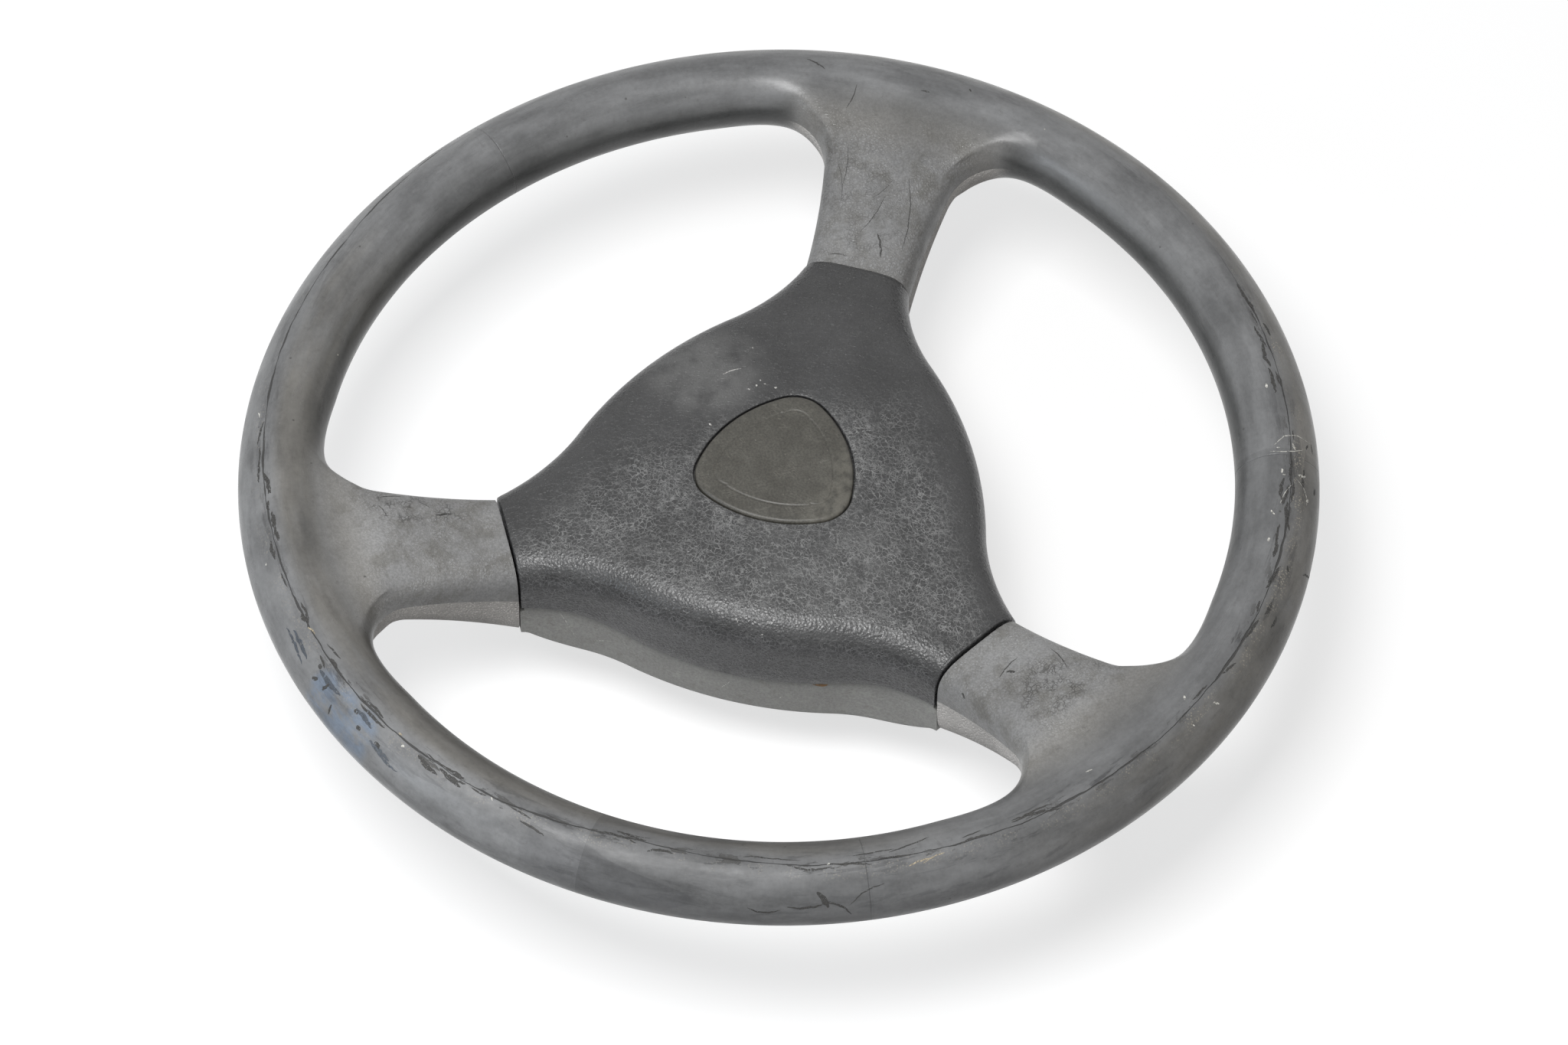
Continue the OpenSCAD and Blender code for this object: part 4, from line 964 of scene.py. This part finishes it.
def shroud_material():
    s = Shader("scratched_plastic")
    tone = s.span(s.noise(16, 4, 0.6), 0.3, 0.7)
    s.color = s.blend(tone, SHROUD_DARK, SHROUD_PALE)
    smears = s.times(s.strokes(2.5, 22, 0.6, 0.01, 0.09),
                     s.span(s.noise(12, 3), 0.5, 0.62))
    s.paint(SHROUD_SMEAR, smears, 0.5)
    hair = s.times(s.strokes(0.5, 16, 0.9, 0.004, 0.018),
                   s.span(s.noise(10, 2), 0.48, 0.6))
    s.paint(SHROUD_HAIR, hair, 0.5)
    grime = s.span(s.noise(5, 5, 0.7), 0.52, 0.7)
    s.tint((0.76, 0.75, 0.72), grime, 0.8)
    grit = s.span(s.noise(0.9, 4, 0.7), 0.35, 0.65, 0.86, 1.12)
    s.color = s.scaled(grit)
    return s.finish(s.span(tone, 0, 1, 0.42, 0.55), 0.0, s.bump(s.noise(0.8, 3), 0.02 * MM), 0.4)


# Marks of wear
STRIP_SHARE = 0.75              # a strip's width as a share of its mark's width
STRIP_STEP = 0.9 * MM           # length of a strip's parts
ABOVE = 0.2                     # a height above the whole wheel


def mark(x, y, length, heading, width, bow=0.06):
    """A slightly bowed mark, seen from the front: where it starts, in mm, and its heading."""
    a = math.radians(heading)
    along, across = np.array([math.cos(a), math.sin(a)]), np.array([-math.sin(a), math.cos(a)])
    row = [width]
    for t in (0, 0.35, 0.7, 1):
        row += list(np.array([x, y]) + length * (t * along + 4 * bow * t * (1 - t) * across))
    return row


def marks(*rows):
    return [mark(*row) for row in rows]


def strewn(seed, count, angles, offs, lengths, widths, slant):
    """Marks strewn round the rim: between two angles, at a distance outside the crack."""
    rng = np.random.default_rng(seed)
    stops, radii = zip(*CRACK_LINE)
    rows = []
    for _ in range(count):
        angle = rng.uniform(*angles)
        radius = np.interp(angle, stops, radii) + rng.uniform(*offs)
        a = math.radians(angle)
        rows.append(mark(radius * math.cos(a), radius * math.sin(a), rng.uniform(*lengths),
                         angle + 90 + slant * rng.normal(), rng.uniform(*widths),
                         0.05 * rng.normal()))
    return rows


def rim_dark():
    rows = strewn(1, 26, (-108, -42), (-2.5, 2), (4, 12), (0.6, 2.3), 7)
    rows += strewn(2, 7, (-80, -45), (3, 8), (1.5, 3), (1.2, 2.2), 40)
    rows += strewn(3, 13, (-20, 18), (-3, 1), (7, 18), (0.5, 1.2), 4)
    rows += strewn(4, 24, (38, 100), (-3, 2.5), (4, 12), (0.6, 2), 6)
    rows += strewn(5, 8, (42, 85), (4, 9), (2, 6), (0.7, 1.8), 15)
    rows += strewn(6, 5, (-45, -25), (-3, 5), (8, 22), (0.5, 1.6), 6)
    # Gouges at the lower edge
    rows += marks((182, -32, 5, 35, 2.6), (185, -30, 9, 68, 1.0), (185, -28, 15, 262, 1.0),
                  (183, -45, 11, 253, 0.8), (187, -22, 13, 102, 0.6))
    # Scratches on the upper spoke and its root
    rows += marks((-133, 58, 17, -21, 0.35), (-128, 53, 16, -9, 0.25), (-114, 70, 9, -62, 0.3),
                  (-109, 66, 16, -49, 0.4), (-113, 76, 27, -20, 0.5), (-96, 60, 9, -8, 1.1),
                  (-94, 41, 7, 65, 0.5), (-170, 52, 8, 40, 0.9), (-155, 67, 10, -37, 0.5),
                  (-146, 89, 3, 60, 0.9), (-142, 106, 1.5, 5, 0.9))
    # Scratches on the left spoke, and on the lower right one
    rows += marks((-17, -141, 10, 95, 0.6), (-13, -141, 5, 20, 0.5), (-15, -127, 5, 50, 0.5),
                  (-8, -122, 6, 95, 1.1), (103, 55, 3, 60, 1.8), (104, 39, 2, 10, 1.4),
                  (105, 52, 11, 131, 0.6), (97, 72, 13, 12, 0.5))
    return rows


def rim_light():
    rows = marks((41, 168, 14, 97, 0.45, 0.2), (43, 166, 12, 88, 0.4, -0.12),
                 (66, 163, 10, 139, 0.35), (56, 172, 10, 5, 0.3, 0.15))
    rows += strewn(8, 9, (62, 85), (-7, 6), (0.8, 3), (0.5, 1.6), 60)
    rows += strewn(9, 9, (-110, 60), (-7, 5), (0.6, 2.5), (0.4, 1.2), 60)
    return rows


RIM_DARK = rim_dark()
RIM_BLUE = strewn(7, 6, (-80, -52), (2, 7), (9, 17), (1, 2.6), 4)
RIM_LIGHT = rim_light()
RIM_TAN = marks((181, 0, 9, 96, 0.8), (181, 5, 8, 104, 0.6), (37, -176, 4, 28, 0.8),
                (88, -155, 1.5, 40, 0.8))
PAD_LIGHT = marks((-23, -20, 1.3, 18, 0.8), (-44, -10, 7, 98, 0.5), (-35, -3, 0.8, 25, 1),
                  (-36, 0, 0.8, 35, 0.9), (-33, 6, 1, 85, 1), (-36, 3, 0.7, 25, 0.6),
                  (-38, 2, 0.7, 25, 0.6), (-54, 3, 0.7, 25, 0.6), (58, -30, 1.4, 13, 0.6),
                  (65, -23, 1, 85, 0.6))
# On upright walls, as a width and then places in X, Y and Z
PAD_END_LIGHT = [(0.6, -6, -98, 55.5, -1, -98, 58, 3, -98, 57, 5, -98, 56)]
SHROUD_LIGHT = [
    (0.5, 68.5, -17, 26.5, 69, -16, 28),
    (0.6, 23, -85.5, 39.5, 24, -83.5, 35, 25.5, -80.5, 26.5),
    (0.5, 59, -35.5, 26.5, 61, -32.5, 32),
    (0.7, 29.5, -73.5, 27, 31.5, -71, 29),
]
SHROUD_RUST = [
    (1, 72.5, -6, 36.5, 74, -1.5, 37),
    (1.6, 73, -5.5, 36.5, 73.5, -3, 36, 74, -1, 37),
]


def landing(tree, x, y):
    """Where a place seen from the front meets the skin, or the nearest place on it."""
    hit = tree.ray_cast(Vector((x, y, ABOVE)), Vector((0, 0, -1)))[0]
    return hit or tree.find_nearest(Vector((x, y, RIM_Z)))[0]


def lay_marks(name, skin, rows, size, color, rough, body):
    """Lays thin strips on a skin, through places of two or three numbers, with ragged edges."""
    tree = BVHTree.FromPolygons([v.co for v in skin.data.vertices],
                                [p.vertices for p in skin.data.polygons])
    rng = np.random.default_rng(7)
    points, faces = [], []
    for row in rows:
        width = STRIP_SHARE * row[0] * MM
        stops = np.array(row[1:]).reshape(-1, size) * MM
        if size == 2:
            stops = np.array([landing(tree, x, y) for x, y in stops])
        lengths = np.linalg.norm(np.diff(stops, axis=0), axis=1)
        total = lengths.sum()
        count = max(3, int(total / STRIP_STEP))
        at = np.concatenate([[0], np.cumsum(lengths)])
        t = np.linspace(0, total, count + 1)
        line = np.stack([np.interp(t, at, stops[:, k]) for k in range(3)], 1)
        for n in range(count + 1):
            along = Vector(line[min(n + 1, count)] - line[max(n - 1, 0)]).normalized()
            place, normal, _, _ = tree.find_nearest(Vector(line[n]))
            across = normal.cross(along).normalized()
            taper = math.sin(math.pi * (n + 0.35) / (count + 0.7)) ** 0.6
            half = 0.5 * width * taper
            shift = 0.12 * min(width, 1 * MM) * rng.normal()
            for side in (-1, 0, 1):
                edge = side * half * (0.75 + 0.5 * rng.random()) + shift
                spot, up, _, _ = tree.find_nearest(place + across * edge)
                points.append(spot + up * MARK_LIFT * (1 if side == 0 else 0.5))
            if n < count:
                i = len(points) - 3
                faces += [(i, i + 3, i + 4, i + 1), (i + 1, i + 4, i + 5, i + 2)]
    obj = new_mesh(name, points, faces, body, None, 60)
    s = Shader(name, color)
    ragged = s.noise(0.8, 5, 0.75)
    s.put(s.bsdf.inputs["Alpha"], s.span(ragged, 0.38, 0.5))
    s.tint((1.5, 1.5, 1.5), s.span(ragged, 0.45, 0.65))
    obj.data.materials.append(s.finish(rough, 0.0, None, 0.3))


def dress():
    """Gives every CAD node that stays in view its material."""
    steel = plain("coated_steel", grey(0.05), 0.45, 0.0)
    machined = plain("machined_steel", (0.42, 0.41, 0.39), 0.32, 1.0, 0.05)
    zinc = plain("zinc_plate", (0.55, 0.56, 0.57), 0.35, 1.0, 0.08)
    yellow = plain("yellow_zinc", (0.52, 0.43, 0.22), 0.38, 1.0, 0.12)
    wire = plain("spring_wire", (0.33, 0.32, 0.31), 0.3, 1.0)
    brass = plain("brass", (0.62, 0.45, 0.17), 0.33, 1.0, 0.1)
    nylon = plain("white_nylon", (0.6, 0.58, 0.5), 0.5)
    cream = plain("cream_nylon", (0.55, 0.5, 0.38), 0.5)
    dark = plain("black_screws", grey(0.06), 0.4, 0.6)
    rod = plain("bare_rod", (0.25, 0.24, 0.23), 0.5, 0.8)
    looks = {"rim_core": (rod, "frame_steel"), "hub_plate": (steel, "frame_steel"),
             "hub_boss": (machined, "boss_steel"), "shroud_screws": (dark, "screw_steel"),
             "cancel_cam": (nylon, "cam_plastic"), "slip_ring": (brass, "contact_brass"),
             "cam_screws": (zinc, "screw_steel"), "pad_carrier": (yellow, "carrier_steel"),
             "pad_screws": (zinc, "screw_steel")}
    for side in ("bottom", "right", "left"):
        looks["spoke_strap_" + side] = (steel, "frame_steel")
    for k in ("1", "2", "3"):
        looks["guide_block_" + k] = (cream, "block_plastic")
        looks["horn_spring_" + k] = (wire, "spring_steel")
        looks["fixed_contact_" + k] = (brass, "contact_brass")
        looks["moving_contact_" + k] = (brass, "contact_brass")
        looks["shoulder_bolt_" + k] = (zinc, "screw_steel")
    for name, (material, slot) in looks.items():
        node = nodes[name]
        node.data.materials.clear()
        node.data.materials.append(material)


rim = make_rim()
pad = make_pad()
badge = make_badge()
shroud = make_shroud()
rim.data.materials.append(foam_material())
pad.data.materials.append(pad_material())
badge.data.materials.append(badge_material())
shroud.data.materials.append(shroud_material())
dress()
for name, skin, rows, size, color, rough, body, slot in (
        ("rim_nicks", rim, RIM_DARK, 2, (0.042, 0.041, 0.039), 0.6, "wheel", "grip_foam"),
        ("rim_streaks", rim, RIM_BLUE, 2, (0.062, 0.07, 0.082), 0.35, "wheel", "grip_foam"),
        ("rim_scuffs", rim, RIM_LIGHT, 2, (0.5, 0.49, 0.45), 0.6, "wheel", "grip_foam"),
        ("rim_stains", rim, RIM_TAN, 2, (0.33, 0.28, 0.2), 0.6, "wheel", "grip_foam"),
        ("pad_specks", pad, PAD_LIGHT, 2, (0.45, 0.44, 0.42), 0.6, "horn_pad", "pad_skin"),
        ("pad_end_scuff", pad, PAD_END_LIGHT, 3, (0.3, 0.3, 0.29), 0.5, "horn_pad", "pad_skin"),
        ("shroud_scratches", shroud, SHROUD_LIGHT, 3, (0.45, 0.45, 0.43), 0.5, "wheel",
         "shroud_plastic"),
        ("shroud_rust", shroud, SHROUD_RUST, 3, (0.27, 0.16, 0.08), 0.7, "wheel",
         "shroud_plastic")):
    lay_marks(name, skin, rows, size, color, rough, body)


# Floor, light and camera
FLOOR_PLAIN = 0.25              # the floor's grey for light that falls on the object
FLOOR_SEEN = 0.4                # the same where the floor is seen
FLOOR_GLOW = 0.66               # its own light there
FLOOR_HALF = 6.0
FLOOR_GAP = 0.05 * MM           # clearance below the shroud's collar
WORLD_PLAIN = 0.23              # the world's strength for light that falls on the object
CAMERA_TURN = math.radians(76.03)
CAMERA_RISE = math.radians(53.43)
CAMERA_ROLL = math.radians(0.16)
CAMERA_FAR = 2.4232             # distance to the middle of the rim's plane
CAMERA_RIGHT = 1.49 * MM        # and how far it stands beside and below that line
CAMERA_DOWN = 18.76 * MM
FILM_WIDTH = 36.0               # in the camera's own mm
PHOTO_WIDTH = 2048              # in pixels
PHOTO_FOCUS = 9000              # focal length in pixels of the photo


def make_floor():
    mesh = bpy.data.meshes.new("floor")
    half, z = FLOOR_HALF, shroud_low.z - FLOOR_GAP
    mesh.from_pydata([(-half, -half, z), (half, -half, z), (half, half, z), (-half, half, z)],
                     [], [(0, 1, 2, 3)])
    floor = bpy.data.objects.new("floor", mesh)
    bpy.context.scene.collection.objects.link(floor)
    # Lit plainly for the object, white where it is seen
    s = Shader("floor_paper")
    seen = s.seen()
    s.color = s.blend(seen, grey(FLOOR_PLAIN), grey(FLOOR_SEEN))
    s.finish(0.9, 0.0, None, 0.0)
    s.put(s.bsdf.inputs["Emission Color"], (1, 1, 1, 1))
    s.put(s.bsdf.inputs["Emission Strength"], s.times(seen, FLOOR_GLOW))
    mesh.materials.append(s.material)


def add_area(name, at, aim, size, watts, color=(1, 1, 1)):
    light = bpy.data.lights.new(name, "AREA")
    light.shape = "RECTANGLE"
    light.size, light.size_y = size
    light.energy = watts
    light.color = color
    obj = bpy.data.objects.new(name, light)
    bpy.context.scene.collection.objects.link(obj)
    obj.location = at
    obj.rotation_euler = (Vector(at) - Vector(aim)).to_track_quat("Z", "Y").to_euler()


def make_world():
    world = bpy.data.worlds.new("studio")
    bpy.context.scene.world = world
    n = Nodes(world)
    strength = n.math("MULTIPLY_ADD", n.seen(), 1 - WORLD_PLAIN, WORLD_PLAIN)
    back = n.add("Background", {"Color": (1, 1, 1, 1), "Strength": strength})
    n.add("OutputWorld", {"Surface": back.outputs[0]})


def make_camera():
    az, el, roll = CAMERA_TURN, CAMERA_RISE, CAMERA_ROLL
    back = Vector((math.sin(az) * math.cos(el), -math.cos(az) * math.cos(el), math.sin(el)))
    right = Vector((math.cos(az), math.sin(az), 0))
    up = back.cross(right)
    side = math.cos(roll) * right + math.sin(roll) * up
    top = -math.sin(roll) * right + math.cos(roll) * up
    place = (Vector((0, 0, RIM_Z)) + CAMERA_FAR * back + CAMERA_RIGHT * right
             - CAMERA_DOWN * up)
    data = bpy.data.cameras.new("camera")
    data.sensor_width = FILM_WIDTH
    data.lens = PHOTO_FOCUS / PHOTO_WIDTH * FILM_WIDTH
    camera = bpy.data.objects.new("camera", data)
    camera.matrix_world = Matrix(((side.x, top.x, back.x, place.x),
                                  (side.y, top.y, back.y, place.y),
                                  (side.z, top.z, back.z, place.z), (0, 0, 0, 1)))
    bpy.context.scene.collection.objects.link(camera)
    bpy.context.scene.camera = camera


make_floor()
make_world()
make_camera()
bpy.context.scene.view_settings.view_transform = "Standard"
add_area("softbox", (0.35, -0.45, 1.75), (0, 0, 0), (0.75, 0.75), 27)
add_area("side_box", (0.3, -1.7, 0.8), (0, 0, 0.05), (0.6, 1.0), 8, (0.84, 0.92, 1.0))
add_area("front_box", (1.8, 0.0, 0.35), (0, 0, 0.05), (1.0, 0.5), 1.5)
